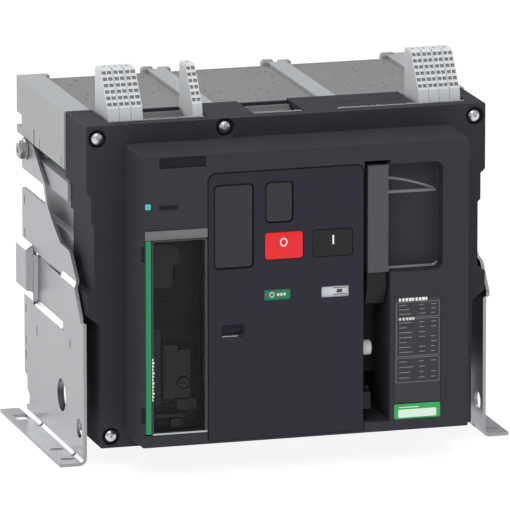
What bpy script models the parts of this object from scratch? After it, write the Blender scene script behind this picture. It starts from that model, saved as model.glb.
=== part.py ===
"""Fixed three-pole air circuit breaker, modelled as the separate pieces it is assembled from.

Metres, +Z up, the front faces -Y. The origin is on the mounting surface, under the middle of the box.
"""

import math

import bmesh
import bpy
from mathutils import Vector

GAP = 0.0003

# Poles
POLE_PITCH = 0.115
POLES = (("left", -POLE_PITCH), ("middle", 0.0), ("right", POLE_PITCH))

# Depth of each layer, front to back
PANEL_FRONT = -0.1485
FASCIA_BACK = -0.1465
PANEL_WALL_BACK = -0.1425
COVER_FRONT = -0.0885
SEAM = -0.0190
CASE_FRONT = SEAM + GAP
WALL_BACK = -0.0112
BODY_BACK = 0.0900
CASE_BACK = 0.1485

# Cover
COVER_BOTTOM = 0.0155
COVER_TOP = 0.3110
COVER_OUTLINE = (
    (0.1742, COVER_BOTTOM),
    (0.1742, 0.1285),
    (0.1865, 0.1385),
    (0.1865, 0.1565),
    (0.1795, 0.1580),
    (0.1795, 0.2205),
    (0.1820, 0.2225),
    (0.1820, 0.2465),
    (0.1862, 0.2505),
    (0.1862, COVER_TOP),
)
PANEL_HALF = 0.1520
PANEL_BOTTOM = 0.0286
PANEL_TOP = 0.2930
GALLERY_FLOOR = 0.2990
GALLERY_FRONT = -0.0755
GALLERIES = ((-0.1620, -0.0703), (-0.0270, 0.0200), (0.0500, 0.1722))
COVER_SCREWS = (("top_left", (-0.1755, 0.2990)), ("top_middle", (-0.0574, 0.3027)),
                ("top_right", (0.1763, 0.2992)), ("bottom_left", (-0.1638, 0.0257)))
SCREW_SEAT = -0.0820

# Openings in the panel and the fascia, as (x, z) corners
TRIP_WINDOW = ((-0.1492, 0.0395), (-0.0908, 0.2268))
HANDLE_SLOT = ((0.0543, 0.0375), (0.0785, 0.2757))
RATING_PLATE = ((0.0826, 0.0532), (0.1260, 0.1500))
GREEN_LABEL = ((0.0826, 0.0386), (0.1260, 0.0525))
READY_LAMP = ((-0.1487, 0.2456), (-0.1432, 0.2511))
OPEN_BUTTON = ((-0.0380, 0.1934), (-0.0028, 0.2180))
CLOSE_BUTTON = ((0.0064, 0.1932), (0.0432, 0.2178))
POSITION_WINDOW = ((-0.0383, 0.1558), (-0.0137, 0.1654))
CHARGE_WINDOW = ((0.0148, 0.1556), (0.0400, 0.1650))
COUNTER_WINDOW = ((-0.0780, 0.1254), (-0.0576, 0.1356))
KEY_BLANK = ((-0.0855, 0.1874), (-0.0487, 0.2642))
PADLOCK_BLANK = ((-0.0380, 0.2268), (-0.0119, 0.2643))
FLAG_TRAVEL = 0.0120

# Rear case
CASE_HALF = 0.1880
BODY_HALF = 0.1720
BODY_BOTTOM = 0.0450
CHAMBER_BOTTOM = 0.2580
CASE_TOP = 0.3110
CELL_HALF = 0.0487
CELL_BACK = 0.0820
CHUTE_BACK = 0.1392

# Ribs on each side of the body, as (bottom, top, reach)
RIBS = ((0.2270, 0.2460, 0.1845), (0.1650, 0.1950, 0.1790), (0.1050, 0.1120, 0.1760), (0.0600, 0.0670, 0.1760))

# Main connector bars, as (bottom, top)
UPPER_BAR = (0.1970, 0.2090)
LOWER_BAR = (0.0700, 0.0820)
BAR_HALF = 0.0270

# Side brackets
PLATE_IN = 0.1860
PLATE_OUT = 0.1890
FOOT_OUT = 0.2110
FOOT_FRONT = -0.0860
FOOT_REAR = 0.1270
SHEET = 0.0030
REAR_FLAP_STAND = 0.0065
FRONT_FLAP_STAND = 0.0030
BRACKET_BOLT = (0.1120, 0.2490)
FOOT_SLOTS = (0.0930, -0.0320, -0.0690)

# Centres, as (y, z), of what turns about an X axis
HANDLE_PIVOT = (-0.1220, 0.1600)
CAMSHAFT = (-0.1000, 0.1500)
POLE_SHAFT = (-0.0480, 0.1400)
CONTACT_PIVOT = (0.0300, 0.1050)
LINK_PIN = (0.0255, 0.1670)
CONTACT_OPEN_ANGLE = math.radians(18.0)
CRANK_LENGTH = 0.0227
CRANK_OPEN_ANGLE = math.radians(25.0)

# The smoked cover turns about a vertical line at its left front corner
COVER_HINGE = (-0.1489, -0.1485)


# ---------------------------------------------------------------- shape helpers


def clear_scene():
    for obj in list(bpy.data.objects):
        bpy.data.objects.remove(obj, do_unlink=True)


def finish_material(name, colour, roughness, metallic=0.0, alpha=1.0):
    material = bpy.data.materials.get(name)
    if material is None:
        material = bpy.data.materials.new(name)
        material.use_nodes = True
        shader = material.node_tree.nodes["Principled BSDF"]
        shader.inputs["Base Color"].default_value = (*colour, 1.0)
        shader.inputs["Roughness"].default_value = roughness
        shader.inputs["Metallic"].default_value = metallic
        shader.inputs["Alpha"].default_value = alpha
    return material


def black_moulding():
    return finish_material("black_moulding", (0.045, 0.047, 0.053), 0.45)


def grey_moulding():
    return finish_material("grey_moulding", (0.42, 0.43, 0.44), 0.55)


def zinc_steel():
    return finish_material("zinc_steel", (0.47, 0.48, 0.50), 0.35, 1.0)


def dark_steel():
    return finish_material("dark_steel", (0.25, 0.25, 0.26), 0.4, 1.0)


def copper():
    return finish_material("tinned_copper", (0.72, 0.70, 0.66), 0.35, 1.0)


def box(bm, low, high):
    """A closed box between two corners."""
    corners = [(x, y, z) for x in (low[0], high[0]) for y in (low[1], high[1]) for z in (low[2], high[2])]
    verts = [bm.verts.new(corner) for corner in corners]
    for face in ((0, 1, 3, 2), (4, 6, 7, 5), (0, 4, 5, 1), (2, 3, 7, 6), (0, 2, 6, 4), (1, 5, 7, 3)):
        bm.faces.new([verts[i] for i in face])


def prism(bm, outline, axis, start, end):
    """An outline drawn in the plane across an axis, pushed from start to end along that axis."""
    rings = []
    for along in (start, end):
        ring = []
        for u, v in outline:
            place = {"X": (along, u, v), "Y": (u, along, v), "Z": (u, v, along)}[axis]
            ring.append(bm.verts.new(place))
        rings.append(ring)
    count = len(outline)
    faces = [bm.faces.new(rings[0]), bm.faces.new(rings[1])]
    for i in range(count):
        j = (i + 1) % count
        faces.append(bm.faces.new((rings[0][i], rings[0][j], rings[1][j], rings[1][i])))
    bmesh.ops.recalc_face_normals(bm, faces=faces)


def circle(centre, radius, count=16):
    steps = (2 * math.pi * i / count for i in range(count))
    return [(centre[0] + radius * math.cos(a), centre[1] + radius * math.sin(a)) for a in steps]


def rounded(low, high, radius, per_corner=3):
    """A rectangle with round corners, as an outline."""
    corners = (
        (high[0] - radius, high[1] - radius, 0.0),
        (low[0] + radius, high[1] - radius, 0.5),
        (low[0] + radius, low[1] + radius, 1.0),
        (high[0] - radius, low[1] + radius, 1.5),
    )
    points = []
    for x, y, turn in corners:
        for i in range(per_corner + 1):
            angle = math.pi * (turn + 0.5 * i / per_corner)
            points.append((x + radius * math.cos(angle), y + radius * math.sin(angle)))
    return points


def cylinder(bm, centre, axis, radius, start, end, count=16):
    prism(bm, circle(centre, radius, count), axis, start, end)


def turned(bm, profile, centre, count=16):
    """A profile of (radius, y) points, first and last on the axis, turned about a line along Y."""
    poles = [bm.verts.new((centre[0], profile[i][1], centre[1])) for i in (0, -1)]
    rings = []
    for radius, y in profile[1:-1]:
        rings.append([bm.verts.new((x, y, z)) for x, z in circle(centre, radius, count)])
    faces = []
    for i in range(count):
        j = (i + 1) % count
        faces.append(bm.faces.new((poles[0], rings[0][i], rings[0][j])))
        faces.append(bm.faces.new((poles[1], rings[-1][j], rings[-1][i])))
        for inner, outer in zip(rings, rings[1:]):
            faces.append(bm.faces.new((inner[i], inner[j], outer[j], outer[i])))
    bmesh.ops.recalc_face_normals(bm, faces=faces)


def rotated(points, pivot, angle):
    """Points in a (y, z) plane, turned about a pivot by the right-hand rule about +X."""
    c, s = math.cos(angle), math.sin(angle)
    turn = []
    for y, z in points:
        dy, dz = y - pivot[0], z - pivot[1]
        turn.append((pivot[0] + c * dy - s * dz, pivot[1] + s * dy + c * dz))
    return turn


def mirrored(outline):
    """The right half of an outline, bottom to top, closed with its left half."""
    return list(outline) + [(-u, v) for u, v in reversed(outline)]


def piece(name, bm, material, origin=(0.0, 0.0, 0.0), parent=None):
    """Makes the object. Its vertices are given in world space, and its origin is where it turns."""
    bmesh.ops.translate(bm, verts=bm.verts, vec=-Vector(origin))
    bmesh.ops.recalc_face_normals(bm, faces=bm.faces)
    mesh = bpy.data.meshes.new(name)
    bm.to_mesh(mesh)
    bm.free()
    mesh.shade_smooth()
    mesh.set_sharp_from_angle(angle=math.radians(35.0))
    obj = bpy.data.objects.new(name, mesh)
    bpy.context.scene.collection.objects.link(obj)
    if parent is None:
        obj.location = origin
    else:
        obj.parent = parent
    if material is not None:
        mesh.materials.append(material)
    return obj


def pivot_empty(name, place):
    empty = bpy.data.objects.new(name, None)
    empty.location = place
    bpy.context.scene.collection.objects.link(empty)
    return empty


def boolean(target, operation, shape, *arguments):
    """Cuts, or adds, one shape made by box, prism, cylinder or turned. Coordinates are world space."""
    bm = bmesh.new()
    shape(bm, *arguments)
    label = f"{target.name}_{operation.lower()}_{len(target.modifiers)}"
    helper = piece(label, bm, None)
    helper.hide_render = True
    helper.display_type = "WIRE"
    modifier = target.modifiers.new(label, "BOOLEAN")
    modifier.operation = operation
    modifier.object = helper


def cut(target, shape, *arguments):
    boolean(target, "DIFFERENCE", shape, *arguments)


def add(target, shape, *arguments):
    boolean(target, "UNION", shape, *arguments)


def simple(name, material, shapes, origin=(0.0, 0.0, 0.0), parent=None):
    """A piece from one or more shapes: the first is the body, and the rest join it."""
    bm = bmesh.new()
    shapes[0][0](bm, *shapes[0][1:])
    obj = piece(name, bm, material, origin, parent)
    for shape in shapes[1:]:
        add(obj, *shape)
    return obj


# ---------------------------------------------------------------- side brackets


def side_bracket(name, side):
    """Pressed sheet: a gusset plate with a joggled band, an open slot, holes and an outward foot."""
    plate = (
        (FOOT_FRONT, 0.0005),
        (FOOT_FRONT, 0.136),
        (-0.062, 0.166),
        (-0.040, 0.187),
        (-0.008, 0.188),
        (0.015, 0.199),
        (0.036, 0.212),
        (0.046, 0.231),
        (0.066, 0.243),
        (0.088, 0.2575),
        (FOOT_REAR, 0.2575),
        (FOOT_REAR, 0.229),
        (0.051, 0.229),
        (0.043, 0.2115),
        (FOOT_REAR, 0.2115),
        (FOOT_REAR, 0.039),
        (0.112, 0.036),
        (0.112, 0.024),
        (0.103, 0.021),
        (0.106, 0.010),
        (0.114, 0.0005),
    )
    obj = simple(name, zinc_steel(), [(prism, plate, "X", side * PLATE_IN, side * PLATE_OUT)])
    foot = [(side * x, y) for x, y in ((PLATE_IN + 0.0005, FOOT_FRONT), (FOOT_OUT, FOOT_FRONT),
                                       (FOOT_OUT, FOOT_REAR), (PLATE_IN + 0.0005, FOOT_REAR))]
    add(obj, prism, foot, "Z", 0.0, SHEET)
    # The middle of the band is pressed inwards, and both its ends are pressed outwards.
    band_low, band_high = 0.110, 0.158
    add(obj, prism, rounded((-0.015, band_low - 0.003), (0.088, band_high + 0.003), 0.004),
        "X", side * (PLATE_IN - 0.0035), side * (PLATE_IN + 0.0005))
    cut(obj, prism, rounded((-0.012, band_low), (0.085, band_high), 0.004),
        "X", side * (PLATE_OUT - 0.0040), side * (PLATE_OUT + 0.0100))
    rear_flap = ((0.092, 0.118), (FOOT_REAR, 0.118), (FOOT_REAR, 0.155), (0.092, 0.155))
    front_flap = ((FOOT_FRONT, 0.1335), (-0.018, 0.1335), (-0.018, 0.160), (-0.0668, 0.160), (FOOT_FRONT, 0.1360))
    for flap, stand in ((rear_flap, REAR_FLAP_STAND), (front_flap, FRONT_FLAP_STAND)):
        add(obj, prism, flap, "X", side * (PLATE_OUT - 0.0005), side * (PLATE_OUT + stand))
    # Behind each flap the sheet keeps its thickness, and the front one clears the ear of the cover.
    cut(obj, box, *ordered(side, (PLATE_IN - 0.001, 0.0950, 0.1210), (PLATE_IN + REAR_FLAP_STAND, 0.1300, 0.1520)))
    cut(obj, box, *ordered(side, (PLATE_IN - 0.001, -0.0900, 0.1362), (PLATE_IN + FRONT_FLAP_STAND, -0.0185, 0.1576)))
    for centre, radius, count in (((-0.0100, 0.0470), 0.0150, 20), ((-0.0705, 0.0310), 0.0088, 16),
                                  (BRACKET_BOLT, 0.0045, 12)):
        cut(obj, cylinder, centre, "X", radius, side * (PLATE_IN - 0.01), side * (PLATE_OUT + 0.01), count)
    for y in FOOT_SLOTS:
        low, high = sorted((side * 0.1935, side * 0.2060))
        cut(obj, prism, rounded((low, y - 0.0038), (high, y + 0.0038), 0.0036), "Z", -0.01, 0.01)
    return obj


def bracket_bolt(name, side):
    """Hexagon head screw through the top of the bracket into the lug of the case."""
    shapes = [
        (cylinder, BRACKET_BOLT, "X", 0.0084, side * (PLATE_OUT + GAP), side * (PLATE_OUT + 0.0078), 6),
        (cylinder, BRACKET_BOLT, "X", 0.0040, side * 0.1765, side * (PLATE_OUT + 0.0020), 12),
    ]
    return simple(name, dark_steel(), shapes)


# ---------------------------------------------------------------- rear and front case


def rear_case():
    """Grey moulding: a narrow pole body under a wide arc chamber, with one cell for each pole."""
    shapes = [
        (box, (-CASE_HALF, CASE_FRONT, CHAMBER_BOTTOM), (CASE_HALF, CASE_BACK, CASE_TOP)),
        (box, (-BODY_HALF, CASE_FRONT, BODY_BOTTOM), (BODY_HALF, BODY_BACK, CHAMBER_BOTTOM + 0.003)),
    ]
    obj = simple("rear_case", grey_moulding(), shapes)
    for side in (-1, 1):
        for low, high, reach in RIBS:
            add(obj, box, *ordered(side, (BODY_HALF - 0.002, CASE_FRONT + 0.0005, low), (reach, 0.086, high)))
        lug = ((0.1740, 0.0955, 0.2360), (0.1855, 0.1280, CHAMBER_BOTTOM + 0.002))
        add(obj, box, *ordered(side, *lug))
        cut(obj, cylinder, BRACKET_BOLT, "X", 0.0043, side * 0.1700, side * 0.1900, 12)
        notch = ((0.1700, 0.1310, 0.2650), (0.1900, 0.1600, 0.2770))
        cut(obj, box, *ordered(side, *notch))
        slit = ((0.1840, 0.0860, 0.2500), (0.1900, 0.0880, 0.2770))
        cut(obj, box, *ordered(side, *slit))
    for _, x in POLES:
        cut(obj, box, (x - CELL_HALF, CASE_FRONT + 0.004, 0.055), (x + CELL_HALF, CELL_BACK, 0.262))
        chute_bay = (box, (x - CELL_HALF, WALL_BACK + 0.0011, 0.2618), (x + CELL_HALF, CHUTE_BACK, 0.330))
        cut(obj, *chute_bay)
        for low, high in (UPPER_BAR, LOWER_BAR):
            window = ((x - BAR_HALF - GAP, 0.070, low - GAP), (x + BAR_HALF + GAP, 0.100, high + GAP))
            cut(obj, box, *window)
        lug_x = x + CELL_HALF + 0.0015
        add(obj, box, (lug_x - 0.014, 0.1415, CASE_TOP - 0.001), (lug_x, CASE_BACK - 0.0008, CASE_TOP + 0.004))
    inset = (box, (-0.1645, CASE_FRONT - 0.01, 0.0500), (0.1645, WALL_BACK + GAP, 0.3030))
    cut(obj, *inset)
    return obj


def ordered(side, low, high):
    """The corners of a box given for the right side, moved to either side."""
    x = sorted((side * low[0], side * high[0]))
    return (x[0], low[1], low[2]), (x[1], high[1], high[2])


def front_case():
    """Insulating wall between the mechanism and the poles, with a window for each contact link."""
    low = (-0.1642, CASE_FRONT, 0.0503)
    high = (0.1642, WALL_BACK, 0.3027)
    obj = simple("front_case", grey_moulding(), [(box, low, high)])
    for _, x in POLES:
        cut(obj, box, (x - 0.0090, -0.03, 0.1480), (x + 0.0090, 0.0, 0.1790))
    return obj


def arc_chute(name, x):
    """Stack of plates in a moulded cheek, dropped into the chamber: a wide head over a shorter nose."""
    outline = (
        (-0.0095, 0.2360),
        (0.0750, 0.2360),
        (0.0750, 0.2625),
        (CHUTE_BACK - GAP, 0.2625),
        (CHUTE_BACK - GAP, 0.3080),
        (-0.0095, 0.3080),
    )
    material = finish_material("chute_moulding", (0.28, 0.28, 0.285), 0.7)
    half = CELL_HALF - GAP
    obj = simple(name, material, [(prism, outline, "X", x - half, x + half)])
    slot_pitch = 0.0105
    for i in range(7):
        y = 0.0030 + slot_pitch * i
        cut(obj, box, (x - 0.040, y, 0.2300), (x + 0.040, y + 0.0065, 0.2900))
    return obj


# ---------------------------------------------------------------- poles


def upper_connector(name, x):
    """Bar through the back wall, with the fixed contact on its end and an arcing horn above it."""
    shapes = [
        (box, (x - BAR_HALF, 0.0400, UPPER_BAR[0]), (x + BAR_HALF, 0.1465, UPPER_BAR[1])),
        (box, (x - 0.0120, 0.0405, 0.2080), (x + 0.0120, 0.0435, 0.2320)),
    ]
    obj = simple(name, copper(), shapes)
    bar_holes(obj, x)
    return obj


def lower_connector(name, x):
    """Bar through the back wall, with a hinge block that carries the moving contact's braids."""
    shapes = [
        (box, (x - BAR_HALF, 0.0150, LOWER_BAR[0]), (x + BAR_HALF, 0.1465, LOWER_BAR[1])),
        (box, (x - 0.0220, 0.0160, 0.0810), (x + 0.0220, 0.0400, 0.0900)),
    ]
    obj = simple(name, copper(), shapes)
    bar_holes(obj, x)
    return obj


def bar_holes(obj, x):
    for offset in (-0.0140, 0.0140):
        cut(obj, cylinder, (x + offset, 0.1280), "Z", 0.0058, 0.05, 0.25, 12)


def current_transformer(name, x):
    """Ring core in a potted case round the lower connector."""
    material = finish_material("potted_case", (0.06, 0.06, 0.065), 0.6)
    outline = rounded((x - 0.0440, 0.0580), (x + 0.0440, 0.1060), 0.006)
    obj = simple(name, material, [(prism, outline, "Y", 0.0470, 0.0780)])
    window = rounded((x - 0.0290, 0.0670), (x + 0.0290, 0.0850), 0.003)
    cut(obj, prism, window, "Y", 0.04, 0.09)
    return obj


def moving_contact(name, x):
    """Cage with its copper fingers. It is drawn closed, then turned to where it rests when open."""
    pivot = (x, *CONTACT_PIVOT)
    cage = ((0.0180, 0.0980), (0.0340, 0.0980), (0.0340, 0.1800), (0.0180, 0.1800))
    fingers = ((0.0240, 0.1790), (0.0355, 0.1790), (0.0355, 0.1960), (0.0390, 0.1960), (0.0390, 0.2060), (0.0240, 0.2080))
    material = finish_material("contact_copper", (0.65, 0.36, 0.24), 0.35, 1.0)

    def turned_back(outline):
        return rotated(outline, CONTACT_PIVOT, CONTACT_OPEN_ANGLE)

    shapes = [
        (prism, turned_back(cage), "X", x - 0.0300, x + 0.0300),
        (prism, turned_back(fingers), "X", x - 0.0250, x + 0.0250),
    ]
    obj = simple(name, material, shapes, pivot)
    clevis = ((0.0100, 0.1590), (0.0315, 0.1590), (0.0315, 0.1760), (0.0100, 0.1760))
    cut(obj, prism, turned_back(clevis), "X", x - 0.0048, x + 0.0048)
    for i in range(-2, 3):
        finger_gap = ((0.0200, 0.1850), (0.0450, 0.1850), (0.0450, 0.2200), (0.0200, 0.2200))
        middle = x + 0.0085 * i
        cut(obj, prism, turned_back(finger_gap), "X", middle - 0.0006, middle + 0.0006)
    return obj


def contact_link(name, x):
    """Flat bar from a crank of the pole shaft to the contact cage. Its front pivot is left open."""
    pin_y, pin_z = rotated([LINK_PIN], CONTACT_PIVOT, CONTACT_OPEN_ANGLE)[0]
    front = -0.0530
    outline = ((front, pin_z - 0.0035), (pin_y + 0.0030, pin_z - 0.0035), (pin_y + 0.0045, pin_z),
               (pin_y + 0.0030, pin_z + 0.0035), (front, pin_z + 0.0035))
    shape = (prism, outline, "X", x - 0.0040, x + 0.0040)
    return simple(name, dark_steel(), [shape], (x, pin_y, pin_z))


def pole_shaft():
    """Turned shaft across the poles, with a forked crank and its pin at each pole."""
    pivot = (0.0, *POLE_SHAFT)
    obj = simple("pole_shaft", dark_steel(), [(cylinder, POLE_SHAFT, "X", 0.0090, -0.1600, 0.1600, 16)], pivot)
    tip = (POLE_SHAFT[0] - CRANK_LENGTH * math.sin(CRANK_OPEN_ANGLE),
           POLE_SHAFT[1] + CRANK_LENGTH * math.cos(CRANK_OPEN_ANGLE))
    crank = ((-0.0070, 0.0), (0.0070, 0.0), (0.0045, CRANK_LENGTH + 0.0030), (-0.0045, CRANK_LENGTH + 0.0030))
    drawn = [(POLE_SHAFT[0] + u, POLE_SHAFT[1] + v) for u, v in crank]
    outline = rotated(drawn, POLE_SHAFT, CRANK_OPEN_ANGLE)
    for _, x in POLES:
        for low in (-0.0120, 0.0070):
            add(obj, prism, outline, "X", x + low, x + low + 0.0050)
        add(obj, cylinder, tip, "X", 0.0028, x - 0.0110, x + 0.0110, 10)
    return obj


# ---------------------------------------------------------------- mechanism


def mechanism_frame():
    """Bent steel frame: two side plates on a back plate, with holes for the camshaft and the handle pin."""
    left, right = -0.0600, 0.0460
    front, back = -0.1380, -0.0820
    low, high = 0.0560, 0.2620
    shapes = [
        (box, (left, back, low), (right + 0.0030, back + 0.0030, high)),
        (box, (left, front, low), (left + 0.0030, back + 0.0005, high)),
        (box, (right, front, low), (right + 0.0030, back + 0.0005, high)),
        (box, (left + 0.0010, -0.1200, low), (right + 0.0020, back + 0.0005, low + 0.0030)),
    ]
    obj = simple("mechanism_frame", zinc_steel(), shapes)
    cut(obj, cylinder, CAMSHAFT, "X", 0.0083, -0.08, 0.08, 16)
    cut(obj, cylinder, HANDLE_PIVOT, "X", 0.0033, 0.03, 0.08, 12)
    return obj


def camshaft():
    """Shaft with the closing cam in the middle and the ratchet wheel beside the charging handle."""
    pivot = (0.0, *CAMSHAFT)
    obj = simple("camshaft", dark_steel(), [(cylinder, CAMSHAFT, "X", 0.0075, -0.0640, 0.0535, 16)], pivot)
    cam = [(CAMSHAFT[0] + r * math.cos(a), CAMSHAFT[1] + r * math.sin(a)) for r, a in cam_outline()]
    add(obj, prism, cam, "X", -0.0120, -0.0040)
    wheel = [(CAMSHAFT[0] + r * math.cos(a), CAMSHAFT[1] + r * math.sin(a)) for r, a in ratchet_outline()]
    add(obj, prism, wheel, "X", 0.0500, 0.0530)
    return obj


def cam_outline():
    """A snail cam: the radius grows once round the shaft, then drops."""
    count = 20
    return [(0.0110 + 0.0050 * i / (count - 1), 2 * math.pi * i / count) for i in range(count)]


def ratchet_outline():
    """Saw teeth: each one rises over its pitch, then drops."""
    teeth = 15
    points = []
    for i in range(teeth):
        start = 2 * math.pi * i / teeth
        points.append((0.0150, start))
        points.append((0.0175, start + 0.85 * 2 * math.pi / teeth))
    return points


def closing_spring():
    """Compression spring under the camshaft, a wire swept along a helix with plain ends."""
    turns, per_turn, sides = 6, 12, 6
    radius, wire = 0.0110, 0.0017
    centre = (-0.0380, -0.1000)
    low, high = 0.0620, 0.1280
    bm = bmesh.new()
    rings = []
    steps = turns * per_turn
    for i in range(steps + 1):
        turn = 2 * math.pi * i / per_turn
        outward = Vector((math.cos(turn), math.sin(turn), 0.0))
        middle = Vector((centre[0], centre[1], low + (high - low) * i / steps)) + radius * outward
        ring = []
        for k in range(sides):
            around = 2 * math.pi * k / sides
            ring.append(bm.verts.new(middle + wire * (math.cos(around) * outward + Vector((0, 0, math.sin(around))))))
        rings.append(ring)
    for ring, after in zip(rings, rings[1:]):
        for k in range(sides):
            j = (k + 1) % sides
            bm.faces.new((ring[k], ring[j], after[j], after[k]))
    bm.faces.new(rings[0])
    bm.faces.new(rings[-1])
    return piece("closing_spring", bm, dark_steel())


def charging_handle():
    """Long pull lever. The grip lies flush in the panel, and a black arm carries it on the pin."""
    pivot = (0.0675, *HANDLE_PIVOT)
    grip = ((PANEL_FRONT, 0.1750), (PANEL_FRONT, 0.2733), (-0.1330, 0.2733), (-0.1330, 0.1820), (-0.1390, 0.1750))
    arm = ((-0.1400, 0.1800), (-0.1330, 0.2300), (-0.1270, 0.2300), (-0.1150, 0.1680), (-0.1150, 0.1530),
           (-0.1290, 0.1530), (-0.1400, 0.1700))
    shapes = [
        (prism, grip, "X", 0.0577, 0.0773),
        (prism, arm, "X", 0.0600, 0.0750),
    ]
    obj = simple("charging_handle", finish_material("handle_moulding", (0.09, 0.09, 0.098), 0.4), shapes, pivot)
    cut(obj, cylinder, HANDLE_PIVOT, "X", 0.0034, 0.05, 0.09, 12)
    return obj


def handle_pin():
    shape = (cylinder, HANDLE_PIVOT, "X", 0.0030, 0.0455, 0.0812, 12)
    return simple("handle_pin", dark_steel(), [shape])


def push_button(name, low, high, material):
    """Cap flush with the fascia, on a stem that reaches the latch behind it."""
    middle = 0.5 * (low[0] + high[0])
    height = 0.5 * (low[1] + high[1])
    shapes = [
        (prism, rounded(low, high, 0.0015, 2), "Y", PANEL_FRONT, -0.1360),
        (box, (middle - 0.0030, -0.1370, height - 0.0030), (middle + 0.0030, -0.1120, height + 0.0030)),
    ]
    return simple(name, material, shapes, (middle, PANEL_FRONT, height))


def indicator_flag(name, low, high, colour, travel):
    """Flat flag behind a fascia window. The field above the one on show appears when the flag drops."""
    material = finish_material(name, colour, 0.4)
    shape = (box, (low[0] - 0.0020, FASCIA_BACK + 0.0005, low[1] - 0.0015),
             (high[0] + 0.0020, FASCIA_BACK + 0.0023, high[1] + travel + 0.0015))
    return simple(name, material, [shape], (0.5 * (low[0] + high[0]), FASCIA_BACK, low[1]))


def widened(window, by):
    (x0, z0), (x1, z1) = window
    return (x0 - by, z0 - by), (x1 + by, z1 + by)


def mechanism_fascia():
    """Plate over the mechanism, let into the panel, with a window for each control."""
    low, high = (-0.0903, 0.0335), (0.0537, 0.2745)
    outline = rounded(low, high, 0.0060)
    material = finish_material("fascia_moulding", (0.036, 0.037, 0.052), 0.45)
    obj = simple("mechanism_fascia", material, [(prism, outline, "Y", PANEL_FRONT, FASCIA_BACK)])
    for window in (OPEN_BUTTON, CLOSE_BUTTON, COUNTER_WINDOW, KEY_BLANK, PADLOCK_BLANK):
        cut(obj, prism, rounded(*widened(window, GAP), 0.0018, 2), "Y", -0.16, -0.14)
    for window in (POSITION_WINDOW, CHARGE_WINDOW):
        cut(obj, prism, rounded(*window, 0.0010, 2), "Y", -0.16, -0.14)
    return obj


def insert(name, window, depth, material):
    shape = (prism, rounded(*window, 0.0018, 2), "Y", PANEL_FRONT, PANEL_FRONT + depth)
    return simple(name, material, [shape])


# ---------------------------------------------------------------- trip unit


def trip_unit():
    """Plug-in control unit behind the clear cover, with raised keys, a dial and a lower ledge."""
    material = finish_material("trip_unit_case", (0.03, 0.03, 0.032), 0.5)
    shapes = [
        (box, (-0.1475, -0.1350, 0.0430), (-0.0925, -0.0960, 0.2150)),
        (prism, rounded((-0.1400, 0.1500), (-0.1000, 0.2050), 0.003, 2), "Y", -0.1385, -0.1340),
        (box, (-0.1430, -0.1400, 0.0600), (-0.1080, -0.1340, 0.0680)),
        (cylinder, (-0.1105, 0.0850), "Y", 0.0060, -0.1390, -0.1340, 16),
        (box, (-0.1230, -0.1390, 0.0490), (-0.1150, -0.1340, 0.0560)),
    ]
    return simple("trip_unit", material, shapes)


def trip_cover_pieces():
    """Smoked cover, its green hinge strip and its pull bar, which swing together to the left."""
    pivot = (*COVER_HINGE, 0.0)
    hinge = pivot_empty("trip_cover_hinge", pivot)
    smoked = finish_material("smoked_cover", (0.10, 0.11, 0.12), 0.1, 0.0, 0.35)
    green = finish_material("green_strip", (0.03, 0.36, 0.13), 0.35)
    grey = finish_material("pull_bar", (0.17, 0.17, 0.175), 0.45)
    cover = simple("trip_unit_cover", smoked,
                   [(box, (-0.1427, PANEL_FRONT, 0.0400), (-0.0912, -0.1430, 0.2172))], pivot, hinge)
    cut(cover, box, (-0.1412, PANEL_FRONT + 0.0015, 0.0415), (-0.0927, -0.14, 0.2157))
    simple("hinge_strip", green,
           [(box, (-0.1488, PANEL_FRONT, 0.0408), (-0.1430, -0.1425, 0.2172))], pivot, hinge)
    simple("pull_bar", grey,
           [(box, (-0.1488, PANEL_FRONT, 0.2175), (-0.0912, -0.1440, 0.2262))], pivot, hinge)


def ready_lamp():
    material = finish_material("ready_lamp", (0.11, 0.66, 0.57), 0.3)
    shape = (prism, rounded(*READY_LAMP, 0.0010, 2), "Y", PANEL_FRONT, -0.1440)
    return simple("ready_lamp", material, [shape])


# ---------------------------------------------------------------- front cover


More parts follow.
